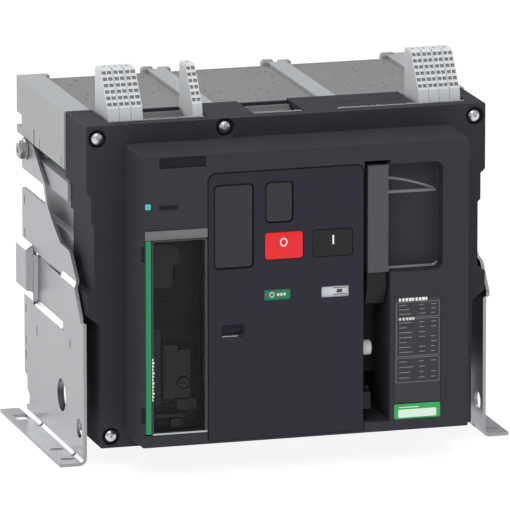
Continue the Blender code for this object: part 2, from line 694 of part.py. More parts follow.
def front_cover():
    """Black moulding: a deep frame with a hollow raised panel, windows, and a gallery along its top."""
    shapes = [
        (prism, mirrored(COVER_OUTLINE), "Y", COVER_FRONT, SEAM),
        (box, (-PANEL_HALF, PANEL_FRONT, PANEL_BOTTOM), (PANEL_HALF, COVER_FRONT + 0.004, PANEL_TOP)),
    ]
    obj = simple("front_cover", black_moulding(), shapes)
    cut(obj, box, (-0.1660, COVER_FRONT + 0.003, 0.0520), (0.1660, 0.0, 0.2860))
    cut(obj, box, (-0.1660, COVER_FRONT + 0.003, 0.0360), (0.1660, SEAM - 0.0030, 0.0530))
    cut(obj, box, (-0.1490, PANEL_WALL_BACK, 0.0380), (0.1490, COVER_FRONT + 0.010, 0.2850))
    # The block behind the finger recess joins the panel wall.
    add(obj, box, (0.0800, PANEL_WALL_BACK - 0.002, 0.1700), (0.1320, -0.1280, 0.2800))
    # The right wall of the handle well carries one end of the handle pin.
    add(obj, box, (0.0788, PANEL_WALL_BACK - 0.001, 0.0360), (0.0815, -0.1000, 0.1720))
    cut(obj, cylinder, HANDLE_PIVOT, "X", 0.0033, 0.0750, 0.0900, 12)
    finger_recess = ((-0.1600, 0.2800), (-0.1485, 0.2757), (-0.1325, 0.2500), (-0.1325, 0.1830), (-0.1485, 0.1745),
                     (-0.1600, 0.1700))
    cut(obj, prism, finger_recess, "X", 0.0780, 0.1270)
    cut(obj, prism, rounded(*HANDLE_SLOT, 0.0010, 2), "Y", -0.16, -0.12)
    cut(obj, prism, rounded(*TRIP_WINDOW, 0.0010, 2), "Y", -0.16, -0.12)
    # A rebate takes the fascia, and a smaller opening behind it takes the controls.
    cut(obj, prism, rounded((-0.0906, 0.0332), (0.0540, 0.2748), 0.0062), "Y", -0.16, FASCIA_BACK + GAP)
    cut(obj, box, (-0.0868, -0.16, 0.0420), (0.0490, -0.12, 0.2710))
    for window in (RATING_PLATE, GREEN_LABEL):
        cut(obj, prism, rounded(*widened(window, GAP), 0.0018, 2), "Y", -0.16, PANEL_FRONT + 0.0010)
    cut(obj, prism, rounded(*widened(READY_LAMP, GAP), 0.0012, 2), "Y", -0.16, -0.12)
    pocket = ((-0.1353, 0.2822), (-0.0926, 0.2918))
    cut(obj, prism, rounded(*pocket, 0.0010, 2), "Y", -0.16, PANEL_FRONT + 0.0020)
    for low in (0.0512, 0.1988):
        cut(obj, box, (-0.1600, -0.1600, low), (-0.1500, -0.1440, low + 0.0140))
    for start, end in GALLERIES:
        cut(obj, box, (start, GALLERY_FRONT, GALLERY_FLOOR), (end, 0.0, 0.3300))
    for _, centre in COVER_SCREWS:
        cut(obj, cylinder, centre, "Y", 0.0080, -0.10, SCREW_SEAT, 20)
        cut(obj, cylinder, centre, "Y", 0.0033, -0.10, 0.0, 12)
    return obj


def cover_screw(name, centre):
    """Domed screw at the bottom of its counterbore."""
    seat = SCREW_SEAT - GAP
    profile = ((0.0, COVER_FRONT), (0.0030, COVER_FRONT + 0.0006), (0.0052, COVER_FRONT + 0.0028),
               (0.0060, COVER_FRONT + 0.0050), (0.0060, seat), (0.0030, seat), (0.0030, -0.0300), (0.0, -0.0300))
    material = finish_material("chrome_screw", (0.75, 0.75, 0.76), 0.15, 1.0)
    return simple(name, material, [(turned, profile, centre, 14)])


def blank_cover(name, start, end):
    """Blanking piece over an unused part of the gallery, flush with the top of the cover."""
    low = (start, GALLERY_FRONT + 0.0020, GALLERY_FLOOR + GAP)
    return simple(name, black_moulding(), [(box, low, (end, SEAM - GAP, COVER_TOP))])


def terminal_block(name, start, width):
    """Plug-in block of spring terminals: a sloped face over an upright foot."""
    floor = GALLERY_FLOOR + GAP
    outline = ((-0.0640, floor), (-0.0640, 0.3090), (-0.0614, 0.3203), (-0.0385, 0.3505), (-0.0365, 0.3520),
               (-0.0195, 0.3520), (-0.0195, floor))
    material = finish_material("terminal_moulding", (0.60, 0.60, 0.61), 0.5)
    return simple(name, material, [(prism, outline, "X", start, start + width - GAP)])


# ---------------------------------------------------------------- assembly


def build():
    clear_scene()
    for name, side in (("left", -1), ("right", 1)):
        side_bracket(f"{name}_side_bracket", side)
        bracket_bolt(f"{name}_bracket_bolt", side)
    rear_case()
    front_case()
    for name, x in POLES:
        arc_chute(f"arc_chute_{name}", x)
        upper_connector(f"upper_connector_{name}", x)
        lower_connector(f"lower_connector_{name}", x)
        current_transformer(f"current_transformer_{name}", x)
        moving_contact(f"moving_contact_{name}", x)
        contact_link(f"contact_link_{name}", x)
    pole_shaft()
    mechanism_frame()
    camshaft()
    closing_spring()
    charging_handle()
    handle_pin()
    front_cover()
    mechanism_fascia()
    push_button("open_button", *OPEN_BUTTON, finish_material("red_button", (0.86, 0.02, 0.04), 0.35))
    push_button("close_button", *CLOSE_BUTTON, finish_material("black_button", (0.02, 0.02, 0.022), 0.4))
    indicator_flag("position_flag", *POSITION_WINDOW, (0.01, 0.20, 0.10), FLAG_TRAVEL)
    indicator_flag("charge_flag", *CHARGE_WINDOW, (0.65, 0.66, 0.68), FLAG_TRAVEL)
    insert("operation_counter", COUNTER_WINDOW, 0.0060, black_moulding())
    insert("key_lock_blank", KEY_BLANK, 0.0070, black_moulding())
    insert("padlock_blank", PADLOCK_BLANK, 0.0070, black_moulding())
    trip_unit()
    trip_cover_pieces()
    ready_lamp()
    insert("rating_plate", RATING_PLATE, 0.0007, finish_material("plate_print", (0.03, 0.03, 0.032), 0.35))
    insert("green_label", GREEN_LABEL, 0.0007, finish_material("green_label", (0.03, 0.38, 0.09), 0.4))
    for name, centre in COVER_SCREWS:
        cover_screw(f"cover_screw_{name}", centre)
    blank_cover("gallery_blank_left", 0.0505, 0.0888)
    blank_cover("gallery_blank_right", 0.0892, 0.1250)
    groups = ((-0.1592, 0.0109, 3), (-0.0806, 0.0095, 1), (0.1310, 0.0099, 4))
    number = 0
    for start, width, count in groups:
        for i in range(count):
            number += 1
            terminal_block(f"terminal_block_{number}", start + width * i, width)


build()
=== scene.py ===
"""A fixed three-pole air circuit breaker, dressed piece by piece in the order it is put together."""

import math

import bmesh
import bpy
from mathutils import Matrix, Vector


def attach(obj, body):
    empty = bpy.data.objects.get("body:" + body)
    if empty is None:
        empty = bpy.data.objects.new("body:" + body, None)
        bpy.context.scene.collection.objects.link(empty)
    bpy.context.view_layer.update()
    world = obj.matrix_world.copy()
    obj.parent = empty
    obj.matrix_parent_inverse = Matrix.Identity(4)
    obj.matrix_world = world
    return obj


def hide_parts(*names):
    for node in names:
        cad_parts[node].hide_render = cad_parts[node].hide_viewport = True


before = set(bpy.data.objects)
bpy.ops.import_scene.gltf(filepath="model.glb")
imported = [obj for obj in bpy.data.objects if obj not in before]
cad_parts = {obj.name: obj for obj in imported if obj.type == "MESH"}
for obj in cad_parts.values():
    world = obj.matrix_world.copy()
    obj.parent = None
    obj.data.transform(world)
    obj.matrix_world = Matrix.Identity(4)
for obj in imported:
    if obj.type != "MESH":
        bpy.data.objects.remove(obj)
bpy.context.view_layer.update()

# ------------------------------------------------------------------ side brackets
# Two zinc plated steel sheets carry the breaker. Each is punched, then pressed: a band is pushed
# inwards, two flaps are pushed outwards, and the bottom is folded out into a slotted foot.


class Wire:
    """A socket in a node tree. Sums on it add Math nodes to that tree."""

    def __init__(self, tree, socket=None):
        self.tree = tree
        self.socket = socket

    def add(self, kind, settings=None, inputs=None, output=0):
        """A new node: its settings first, then the values or links of its sockets."""
        made = self.tree.nodes.new(kind)
        for name, value in (settings or {}).items():
            if name == "stops":
                for place, (position, shade) in enumerate(value):
                    steps = made.color_ramp.elements
                    step = steps[place] if place < len(steps) else steps.new(position)
                    step.position = position
                    step.color = (shade, shade, shade, 1.0)
            else:
                setattr(made, name, value)
        for name, value in (inputs or {}).items():
            if isinstance(value, Wire):
                self.tree.links.new(value.socket, made.inputs[name])
            else:
                made.inputs[name].default_value = value
        return Wire(self.tree, made.outputs[output] if made.outputs else None)

    def sum(self, operation, first, second):
        return self.add("ShaderNodeMath", {"operation": operation}, {0: first, 1: second})

    def __add__(self, other):
        return self.sum("ADD", self, other)

    def __sub__(self, other):
        return self.sum("SUBTRACT", self, other)

    def __mul__(self, other):
        return self.sum("MULTIPLY", self, other)

    __radd__ = __add__
    __rmul__ = __mul__

    def blend(self, low, high):
        """A colour between two colours, by this value."""
        inputs = {0: self, 6: (*low, 1.0), 7: (*high, 1.0)}
        return self.add("ShaderNodeMix", {"data_type": "RGBA"}, inputs, output=2)


def finish_of(name, **constants):
    """An empty Principled finish, with a wire on its tree and one on the object's own coordinates."""
    material = bpy.data.materials.new(name)
    material.use_nodes = True
    shader = material.node_tree.nodes["Principled BSDF"]
    for socket, value in constants.items():
        shader.inputs[socket.replace("_", " ")].default_value = value
    tree = Wire(material.node_tree)
    place = tree.add("ShaderNodeTexCoord", output=3)
    return material, shader, tree, place


def feed(shader, **wires):
    for socket, wire in wires.items():
        wire.tree.links.new(wire.socket, shader.inputs[socket.replace("_", " ")])


def shaded(colour, factor):
    return tuple(min(1.0, channel * factor) for channel in colour)


def toned(wire, colour, spread):
    """A colour that gets darker and lighter by a share of itself."""
    return wire.blend(shaded(colour, 1 - spread), shaded(colour, 1 + spread))


def noise(place, scale, detail):
    return place.add("ShaderNodeTexNoise", None, {"Vector": place, "Scale": scale, "Detail": detail})


def grained(shader, height, strength):
    """A bump over a fifth of a millimetre."""
    bump = {"Height": height, "Strength": strength, "Distance": 0.0002}
    feed(shader, Normal=height.add("ShaderNodeBump", None, bump))


def rolled_steel(name, colour, roughness, streak=0.06):
    """Plated sheet: fine rolling lines along the sheet, cloudy plating and a few dull patches."""
    material, shader, tree, place = finish_of(name, Metallic=1.0)
    lines = tree.add("ShaderNodeMapping", None, {"Vector": place, "Scale": (1.0, 1.0, 14.0)})
    rolling = noise(lines, 90.0, 3.0)
    clouds = noise(place, 16.0, 4.0)
    tone = 0.35 * rolling + 0.65 * clouds
    feed(shader, Base_Color=toned(tone, colour, 2 * streak))
    feed(shader, Roughness=roughness - 0.1 + 0.2 * clouds)
    fine = noise(place, 700.0, 2.0)
    grained(shader, 0.6 * rolling + 0.4 * fine, 0.12)
    return material


def circle(centre, radius, count=32):
    turns = (2 * math.pi * i / count for i in range(count))
    return [(centre[0] + radius * math.cos(a), centre[1] + radius * math.sin(a)) for a in turns]


def rounded(low, high, radius, steps=5):
    """A rectangle with round corners, as an outline."""
    return eased([(low[0], low[1]), (high[0], low[1]), (high[0], high[1]), (low[0], high[1])], radius,
                 steps)


def eased(points, radius, steps=4):
    """An outline with every corner rounded, less where its sides are short."""
    outline = []
    for i, here in enumerate(points):
        corner = Vector(here)
        before = Vector(points[i - 1]) - corner
        after = Vector(points[(i + 1) % len(points)]) - corner
        opening = before.angle(after)
        if opening > math.radians(172):
            outline.append(tuple(corner))
            continue
        room = 0.45 * min(before.length, after.length)
        reach = min(radius / math.tan(opening / 2), room)
        true_radius = reach * math.tan(opening / 2)
        inward = (before.normalized() + after.normalized()).normalized()
        middle = corner + inward * (true_radius / math.sin(opening / 2))
        start = corner + before.normalized() * reach - middle
        end = corner + after.normalized() * reach - middle
        sweep = start.angle_signed(end)
        for k in range(steps + 1):
            outline.append(tuple(middle + Matrix.Rotation(-sweep * k / steps, 2) @ start))
    return outline


def placed(axis, along, u, v):
    return {"X": (along, u, v), "Y": (u, along, v), "Z": (u, v, along)}[axis]


def loft(bm, rings):
    """A closed solid through rings of points, all with the same count."""
    made = [[bm.verts.new(point) for point in ring] for ring in rings]
    bm.faces.new(made[0])
    bm.faces.new(reversed(made[-1]))
    count = len(made[0])
    for low, high in zip(made, made[1:]):
        for i in range(count):
            j = (i + 1) % count
            bm.faces.new((low[i], high[i], high[j], low[j]))


def prism(bm, outline, axis, start, end):
    loft(bm, [[placed(axis, along, u, v) for u, v in outline] for along in (start, end)])


def plate(bm, low, high, radius, steps, start, end):
    """A rectangle with round corners, standing up and facing the front, from start to end in depth."""
    prism(bm, rounded(low, high, radius, steps), "Y", start, end)


def taper(bm, near, far, axis, start, end):
    """A prism whose outline changes from near to far along its axis."""
    loft(bm, [[placed(axis, start, u, v) for u, v in near], [placed(axis, end, u, v) for u, v in far]])


def block(bm, low, high):
    prism(bm, [(low[0], low[1]), (high[0], low[1]), (high[0], high[1]), (low[0], high[1])], "Z", low[2],
          high[2])


def barrel(bm, centre, axis, radius, start, end, count=32):
    prism(bm, circle(centre, radius, count), axis, start, end)


def lathe(bm, centre, axis, profile, count=32):
    """Rings of (radius, along) about an axis. The first and last ring are closed with a flat."""
    loft(bm, [[placed(axis, along, u, v) for u, v in circle(centre, radius, count)] for radius,
              along in profile])


def added(name, mesh):
    """A mesh put into the scene as an object."""
    obj = bpy.data.objects.new(name, mesh)
    bpy.context.scene.collection.objects.link(obj)
    return obj


def raw(label, shape):
    """One shape as an object: shape is a function and its arguments."""
    bm = bmesh.new()
    shape[0](bm, *shape[1:])
    bmesh.ops.recalc_face_normals(bm, faces=bm.faces)
    mesh = bpy.data.meshes.new(label)
    bm.to_mesh(mesh)
    bm.free()
    return added(label, mesh)


def settle(obj):
    """Turns an object's modifiers into plain mesh."""
    graph = bpy.context.evaluated_depsgraph_get()
    mesh = bpy.data.meshes.new_from_object(obj.evaluated_get(graph))
    obj.modifiers.clear()
    obj.data = mesh


def ease_edges(obj, width, steps=2):
    """Drops the boolean's leftover lines, then rounds the edges that are left."""
    bm = bmesh.new()
    bm.from_mesh(obj.data)
    bmesh.ops.remove_doubles(bm, verts=bm.verts, dist=1e-5)
    bmesh.ops.dissolve_limit(bm, angle_limit=math.radians(0.8), verts=bm.verts, edges=bm.edges)
    bm.to_mesh(obj.data)
    bm.free()
    obj.data.shade_smooth()
    if width:
        bevel = obj.modifiers.new("ease", "BEVEL")
        bevel.width = width
        bevel.segments = steps
        bevel.limit_method = "ANGLE"
        bevel.angle_limit = math.radians(38)
        bevel.use_clamp_overlap = True
        bevel.miter_outer = "MITER_ARC"
        bevel.harden_normals = True
    else:
        obj.data.set_sharp_from_angle(angle=math.radians(30))
    weights = obj.modifiers.new("flat faces first", "WEIGHTED_NORMAL")
    weights.keep_sharp = True
    settle(obj)


def worked(name, shape, changes, width, steps=2):
    """A piece from one shape, then joined, cut or kept by others, with its edges eased at the end."""
    obj = raw(name, shape)
    helpers = []
    for operation, *change in changes:
        helper = raw("helper", change)
        helpers.append(helper)
        modifier = obj.modifiers.new(operation, "BOOLEAN")
        modifier.operation = {"join": "UNION", "cut": "DIFFERENCE", "keep": "INTERSECT"}[operation]
        modifier.object = helper
    settle(obj)
    for helper in helpers:
        bpy.data.objects.remove(helper, do_unlink=True)
    ease_edges(obj, width, steps)
    return obj


def fit(piece, material, body, slot, *nodes):
    """Gives a finished piece its finish, the body it moves with and the plain nodes it stands for."""
    piece.data.materials.clear()
    piece.data.materials.append(material)
    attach(piece, body)
    if nodes:
        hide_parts(*nodes)
    return piece


SHEET, GAP = 0.003, 0.0003
PLATE_IN, PLATE_OUT = 0.186, 0.189
FOOT_OUT, FOOT_FRONT, FOOT_REAR = 0.211, -0.086, 0.127
FOLD = 0.007
BRACKET_SCREW, COLLAR_HOLE = (0.112, 0.249), (-0.01, 0.0475)
NICKS = ((0.115, 0.1), (0.115, 0.07), (0.076, 0.087), (-0.04, 0.102), (0.115, 0.056),
         (0.118, 0.201), (0.118, 0.17))
RELIEFS = ((-0.014, 0.11), (-0.014, 0.1575), (0.0868, 0.11), (0.0868, 0.1575), (-0.0165, 0.16))
FOOT_SLOTS = ((0.093, 0.0095), (-0.032, 0.0038), (-0.069, 0.0038))
FOLD_HOLES = (0.056, -0.058)
BRACKET_OUTLINE = (
    (FOOT_FRONT, -0.01), (FOOT_FRONT, 0.136), (-0.062, 0.166), (-0.04, 0.187), (-0.008, 0.188),
    (0.015, 0.199),
    (0.036, 0.212), (0.046, 0.231), (0.066, 0.243), (0.088, 0.2575), (FOOT_REAR, 0.2575),
    (FOOT_REAR, 0.229),
    (0.051, 0.229), (0.043, 0.2115), (FOOT_REAR, 0.2115), (FOOT_REAR, 0.155), (FOOT_REAR, 0.117),
    (0.1215, 0.111), (0.1215, 0.039), (0.112, 0.036), (0.112, 0.024), (0.103, 0.021), (0.106, 0.01),
    (0.114, -0.01),
)


def ramp(value, start, end):
    """0 before start, 1 after end, and an S between them."""
    t = min(1.0, max(0.0, (value - start) / (end - start)))
    return t * t * (3 - 2 * t)


def pressing(y, z):
    """How far the press tool pushes the sheet outwards at a point of it."""
    front = 0.003 * (1 - ramp(y, -0.0175, -0.0155)) * ramp(z, 0.13, 0.1316) * (1 - ramp(z, 0.159, 0.165))
    rear = 0.0062 * ramp(y, 0.0895, 0.0915) * ramp(z, 0.1195, 0.122) * (1 - ramp(z, 0.159, 0.165))
    band = 0.004 * ramp(y, -0.015, -0.013) * (1 - ramp(y, 0.0855, 0.088))
    sunk = 0.0036 * ramp(y, 0.0905, 0.0925) * ramp(z, 0.1115, 0.1165) * (1 - ramp(z, 0.1195, 0.122))
    return front + rear - sunk - band * ramp(z, 0.1085, 0.114) * (1 - ramp(z, 0.156, 0.1585))


def grid_lines(start, end, spacing, bends):
    """Sheet lines: wide apart on the flats, and close together through each bend."""
    lines = {round(start + (end - start) * i / round((end - start) / spacing), 5)
             for i in range(round((end - start) / spacing) + 1)}
    for low, high in bends:
        lines |= {round(low + (high - low) * i / 6, 5) for i in range(7)}
    return sorted(lines)


def pressed_sheet(bm, side):
    y_bends = ((-0.0175, -0.0155), (-0.015, -0.013), (0.0855, 0.088), (0.0895, 0.092))
    z_bends = ((0.1085, 0.114), (0.1115, 0.1165), (0.1195, 0.122), (0.13, 0.1316), (0.156, 0.1585),
               (0.159, 0.165))
    ys = grid_lines(FOOT_FRONT - 0.002, FOOT_REAR + 0.002, 0.03, y_bends)
    zs = grid_lines(0.008, 0.262, 0.03, z_bends)
    layers = []
    for depth in (0.0, SHEET):
        layers.append([[bm.verts.new((side * (PLATE_OUT + pressing(y, z) - depth), y, z)) for z in zs]
                       for y in ys])
    rows, columns = len(ys), len(zs)
    for layer in layers:
        for i in range(rows - 1):
            for j in range(columns - 1):
                bm.faces.new((layer[i][j], layer[i + 1][j], layer[i + 1][j + 1], layer[i][j + 1]))
    rim = [(i, 0) for i in range(rows)] + [(rows - 1, j) for j in range(1, columns)]
    rim += [(i, columns - 1) for i in range(rows - 2, -1, -1)] + [(0, j) for j in range(columns - 2, 0, -1)]
    for (a, b), (c, d) in zip(rim, rim[1:] + rim[:1]):
        bm.faces.new((layers[0][a][b], layers[0][c][d], layers[1][c][d], layers[1][a][b]))


def folded_foot(side):
    """The section of the foot: a short upright leg, a round fold and the flat that is bolted down."""
    centre = (PLATE_IN + FOLD, FOLD)
    section = [(PLATE_IN, 0.0095)]
    for radius, order in ((FOLD, range(9)), (FOLD - SHEET, range(8, -1, -1))):
        if radius != FOLD:
            section += [(FOOT_OUT, 0.0), (FOOT_OUT, SHEET)]
        for i in order:
            angle = math.pi + math.pi / 2 * i / 8
            section.append((centre[0] + radius * math.cos(angle), centre[1] + radius * math.sin(angle)))
    section.append((PLATE_OUT, 0.0095))
    return [(side * x, z) for x, z in section]


def bracket(name, side):
    """Sheet cut to its outline, folded at the foot and punched. One hole has a drawn collar behind it."""
    through = (side * 0.17, side * 0.21)
    tail = ((0.193, 0.0), (FOOT_OUT, 0.0), (FOOT_OUT, SHEET), (0.193, SHEET))
    collar = ((0.018, -0.001), (0.0166, 0.001), (0.0164, 0.0032))
    changes = [("keep", prism, eased(BRACKET_OUTLINE, 0.0035, 4), "X", *through),
               ("join", prism, folded_foot(side), "Y", FOOT_FRONT, FOOT_REAR - 0.013),
               ("join", prism, [(side * x, z) for x, z in tail], "Y", FOOT_REAR - 0.016, FOOT_REAR),
               ("join", lathe, COLLAR_HOLE, "X",
                [(radius, side * (PLATE_IN - depth)) for radius, depth in collar], 40)]
    holes = [circle(COLLAR_HOLE, 0.015, 40), circle((-0.0705, 0.031), 0.0088),
             circle(BRACKET_SCREW, 0.0046, 24)]
    holes += [rounded((y - 0.001, z - 0.0042), (y + 0.001, z + 0.0042), 0.0009, 3) for y, z in NICKS]
    holes.append(rounded((-0.0128, 0.1542), (0.0862, 0.1602), 0.0026, 3))
    holes += [circle(centre, 0.0019, 12) for centre in RELIEFS]
    changes += [("cut", prism, hole, "X", *through) for hole in holes]
    for y, reach in FOOT_SLOTS:
        slot = rounded((0.1935, y - reach), (0.206, y + reach), 0.0037)
        changes.append(("cut", prism, [(side * u, v) for u, v in slot], "Z", -0.01, 0.006))
    changes += [("cut", barrel, (y, 0.004), "X", 0.0032, side * 0.18, side * 0.1935, 20)
                for y in FOLD_HOLES]
    return worked(name, (pressed_sheet, side), changes, 0.00035, 2)


SIDES = (("left", -1), ("right", 1))
zinc = rolled_steel("zinc_plated_sheet", (0.336, 0.341, 0.354), 0.36, 0.04)
for name, side in SIDES:
    fit(bracket(name + "_bracket", side), zinc, "frame", "zinc_steel", name + "_side_bracket")


# ------------------------------------------------------------------ bracket screws
# One hexagon head screw holds the top of each bracket to a lug of the case. The head is forged,
# with a turned chamfer and a washer face under it.

bolt_steel = rolled_steel("plated_bolt_steel", (0.36, 0.36, 0.35), 0.36)


def hexagon_screw(name, side):
    top = PLATE_OUT + 0.0078
    cone = ((0.002, top - 0.008), (0.0102, top - 0.008), (0.0102, top - 0.003), (0.007, top), (0.002, top))
    chamfer = [(radius, side * along) for radius, along in cone]
    seat = ((0.003, side * (PLATE_OUT + 0.0001)), (0.0094, side * (PLATE_OUT + 0.0001)),
            (0.0094, side * (PLATE_OUT + 0.0014)), (0.003, side * (PLATE_OUT + 0.0014)))
    changes = [("keep", lathe, BRACKET_SCREW, "X", chamfer, 48),
               ("join", lathe, BRACKET_SCREW, "X", seat, 40),
               ("join", barrel, BRACKET_SCREW, "X", 0.004, side * 0.1765, side * (PLATE_OUT + 0.003)),
               ("cut", barrel, BRACKET_SCREW, "X", 0.0034, side * (top - 0.0008), side * (top + 0.001))]
    head = (prism, circle(BRACKET_SCREW, 0.009, 6), "X", side * (PLATE_OUT + 0.001), side * top)
    return worked(name, head, changes, 0.0003, 2)


for name, side in SIDES:
    fit(hexagon_screw(name + "_bracket_screw", side), bolt_steel, "frame", "bolt_steel",
        name + "_bracket_bolt")


# ------------------------------------------------------------------ rear case
# The grey pole case is one glass filled polyester moulding: a ribbed body under a wider arc
# chamber, with a cell for each pole and windows in its back for the connectors.


def moulded(name, colour, roughness, grain=0.1, grain_size=1100.0, mottling=0.05, specular=0.5):
    """Moulded plastic: spark eroded grain from the tool, and faint flow clouds in colour and gloss."""
    material, shader, tree, place = finish_of(name, Specular_IOR_Level=specular)
    clouds = noise(place, 22.0, 5.0)
    specks = noise(place, 420.0, 2.0)
    tone = 0.6 * clouds + 0.4 * specks
    feed(shader, Base_Color=toned(tone, colour, 2 * mottling))
    feed(shader, Roughness=roughness - 0.06 + 0.12 * clouds)
    grit = noise(place, grain_size, 2.0)
    grained(shader, grit, grain)
    return material


POLES = (("left", -0.115), ("middle", 0.0), ("right", 0.115))
CASE_FRONT, CASE_BACK, BODY_BACK = -0.0187, 0.1485, 0.09
CASE_TOP, CHAMBER_LOW, BODY_LOW = 0.311, 0.258, 0.045
CASE_HALF, BODY_HALF, CELL_HALF = 0.188, 0.172, 0.0487
BARS = ((0.197, 0.209), (0.07, 0.082))
OVER, BEHIND = 0.33, 0.16
SIDE_RIBS = ((0.227, 0.246, 0.1845), (0.165, 0.195, 0.179), (0.105, 0.112, 0.176), (0.06, 0.067, 0.176))
LUGS = (((0.174, 0.0955, 0.236), (0.1855, 0.128, 0.26)), ((0.167, 0.08, 0.148), (0.1716, 0.103, 0.26)),
        ((0.17, 0.078, 0.248), (0.18, 0.099, 0.26)))
SIDE_CUTS = (((0.17, 0.131, 0.265), (0.19, 0.16, 0.277)), ((0.18, 0.0848, 0.25), (0.19, 0.0885, 0.273)),
             ((0.1868, -0.01, 0.25), (0.19, -0.0078, 0.268)),
             ((0.1868, 0.066, 0.25), (0.19, 0.0682, 0.268)))


def sided(side, low, high):
    """The corners of a box given for the right side, moved to either side."""
    x = sorted((side * low[0], side * high[0]))
    return (x[0], low[1], low[2]), (x[1], high[1], high[2])


def side_changes(side):
    """Ribs, lug, web and brace of one side, then its screw hole, notch and two shallow slits."""
    changes = []
    for low, high, reach in SIDE_RIBS:
        rings = []
        for x, inset in ((BODY_HALF - 0.002, -0.0006), (reach, 0.0006)):
            section = rounded((CASE_FRONT + 0.0005, low + inset), (0.086, high - inset), 0.002)
            rings.append([(side * x, y, z) for y, z in section])
        changes.append(("join", loft, rings))
    changes += [("join", block, *sided(side, *box)) for box in LUGS]
    changes.append(("cut", barrel, BRACKET_SCREW, "X", 0.0043, side * 0.17, side * 0.19, 24))
    return changes + [("cut", block, *sided(side, *box)) for box in SIDE_CUTS]


def cell_changes(x):
    """One pole: its cell and chamber, the seats of the chute lid, two bar openings, back ribs and vents."""
    changes = [("cut", block, (x - half, *low), (x + half, *high)) for half, low, high in (
        (CELL_HALF, (CASE_FRONT + 0.004, 0.055), (0.082, 0.262)),
        (CELL_HALF, (-0.0101, 0.2618), (0.1392, OVER)),
        (CELL_HALF, (CASE_FRONT - 0.001, 0.306), (-0.0095, OVER)),
        (0.044, (0.138, 0.306), (BEHIND, OVER)))]
    for low, high in BARS:
        changes += [("join", plate, (x - 0.0315, low - 0.0045), (x + 0.0315, high + 0.0045), 0.003, 5,
                     0.088, 0.0925),
                    ("cut", block, (x - 0.0273, 0.07, low - GAP), (x + 0.0273, 0.1, high + GAP))]
    right = x + CELL_HALF + 0.0015
    changes.append(("join", block, (right - 0.005, 0.1415, CASE_TOP - 0.001),
                    (right + 0.006, 0.1477, CASE_TOP + 0.0013)))
    for rib in (x - 0.036 + 0.012 * i for i in range(7)):
        changes.append(("join", block, (rib - 0.001, 0.0885, 0.09), (rib + 0.001, 0.0918, 0.188)))
    changes.append(("cut", plate, (x - 0.042, 0.265), (x + 0.042, 0.303), 0.003, 5, 0.1468, BEHIND))
    for vent in (x - 0.034 + 0.015 * i for i in range(5)):
        changes.append(("cut", plate, (vent, 0.272), (vent + 0.008, 0.296), 0.002, 3, 0.144, BEHIND))
    return changes


def case_changes():
    """The body under the chamber, both sides and the three cells, then what lies between the cells."""
    changes = [("join", block, (-BODY_HALF, CASE_FRONT, BODY_LOW),
                (BODY_HALF, BODY_BACK, CHAMBER_LOW + 0.003))]
    for _, side in SIDES:
        changes += side_changes(side)
    for _, x in POLES:
        changes += cell_changes(x)
    for x in (-0.0575, 0.0575):
        changes.append(("cut", block, (x - 0.0012, 0.086, 0.052), (x + 0.0012, 0.1, 0.25)))
        changes.append(("cut", block, (x - 0.003, 0.14, CASE_TOP - 0.0025), (x + 0.003, BEHIND, OVER)))
    for x in (-0.148, 0.036):
        changes.append(("cut", block, (x, 0.14, CASE_TOP - 0.0018), (x + 0.006, BEHIND, OVER)))
    changes.append(("cut", block, (-0.1645, CASE_FRONT - 0.01, 0.05), (0.1645, -0.0109, 0.303)))
    return changes


grey_polyester = moulded("grey_polyester", (0.368, 0.375, 0.384), 0.55, grain=0.12, specular=0.25)
chamber = (block, (-CASE_HALF, CASE_FRONT, CHAMBER_LOW), (CASE_HALF, CASE_BACK, CASE_TOP))
fit(worked("pole_case", chamber, case_changes(), 0.0006, 2), grey_polyester, "frame", "grey_moulding",
    "rear_case")


# ------------------------------------------------------------------ pole parts
# Inside each cell: copper bars through the back wall, a potted current transformer round the lower
# one, and a moving contact with a link to the pole shaft. The bars are sawn, tinned and deburred.


def machined(name, colour, roughness):
    """Cut or forged metal: tool lines across it and slightly uneven tarnish."""
    material, shader, tree, place = finish_of(name, Metallic=1.0)
    lines = tree.add("ShaderNodeMapping", None, {"Vector": place, "Scale": (1.0, 12.0, 1.0)})
    tool = noise(lines, 160.0, 2.0)
    tarnish = noise(place, 45.0, 4.0)
    feed(shader, Base_Color=tarnish.blend(shaded(colour, 0.86), shaded(colour, 1.1)))
    feed(shader, Roughness=roughness - 0.08 + 0.16 * tool)
    grained(shader, tool, 0.1)
    return material


def deburred(node, name, width):
    """A copy of a plain node with its loose faces merged and its edges broken."""
    obj = added(name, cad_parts[node].data.copy())
    ease_edges(obj, width)
    return obj


tinned_copper = machined("tinned_copper", (0.66, 0.63, 0.58), 0.34)
bare_copper = machined("bare_copper", (0.7, 0.38, 0.25), 0.32)
turned_steel = machined("turned_steel", (0.42, 0.42, 0.43), 0.35)
potting = moulded("potting_resin", (0.03, 0.03, 0.033), 0.5)
inner_grey = moulded("inner_grey", (0.34, 0.35, 0.36), 0.6)

for pole, _ in POLES:
    for level in ("upper", "lower"):
        node = f"{level}_connector_{pole}"
        fit(deburred(node, f"{level}_bar_{pole}", 0.0006), tinned_copper, "frame", "tinned_copper", node)
    node = "current_transformer_" + pole
    fit(deburred(node, "transformer_" + pole, 0.0008), potting, "frame", "potted_case", node)
    fit(deburred("moving_contact_" + pole, "contact_cage_" + pole, 0.0004), bare_copper, "contact_" + pole,
        "contact_copper", "moving_contact_" + pole)
    fit(deburred("contact_link_" + pole, "drive_link_" + pole, 0.0005), turned_steel, "link_" + pole,
        "bolt_steel",
        "contact_link_" + pole)
fit(deburred("front_case", "insulating_wall", 0.0005), inner_grey, "frame", "grey_moulding", "front_case")
fit(deburred("pole_shaft", "crank_shaft", 0.0004), turned_steel, "pole_shaft", "bolt_steel", "pole_shaft")


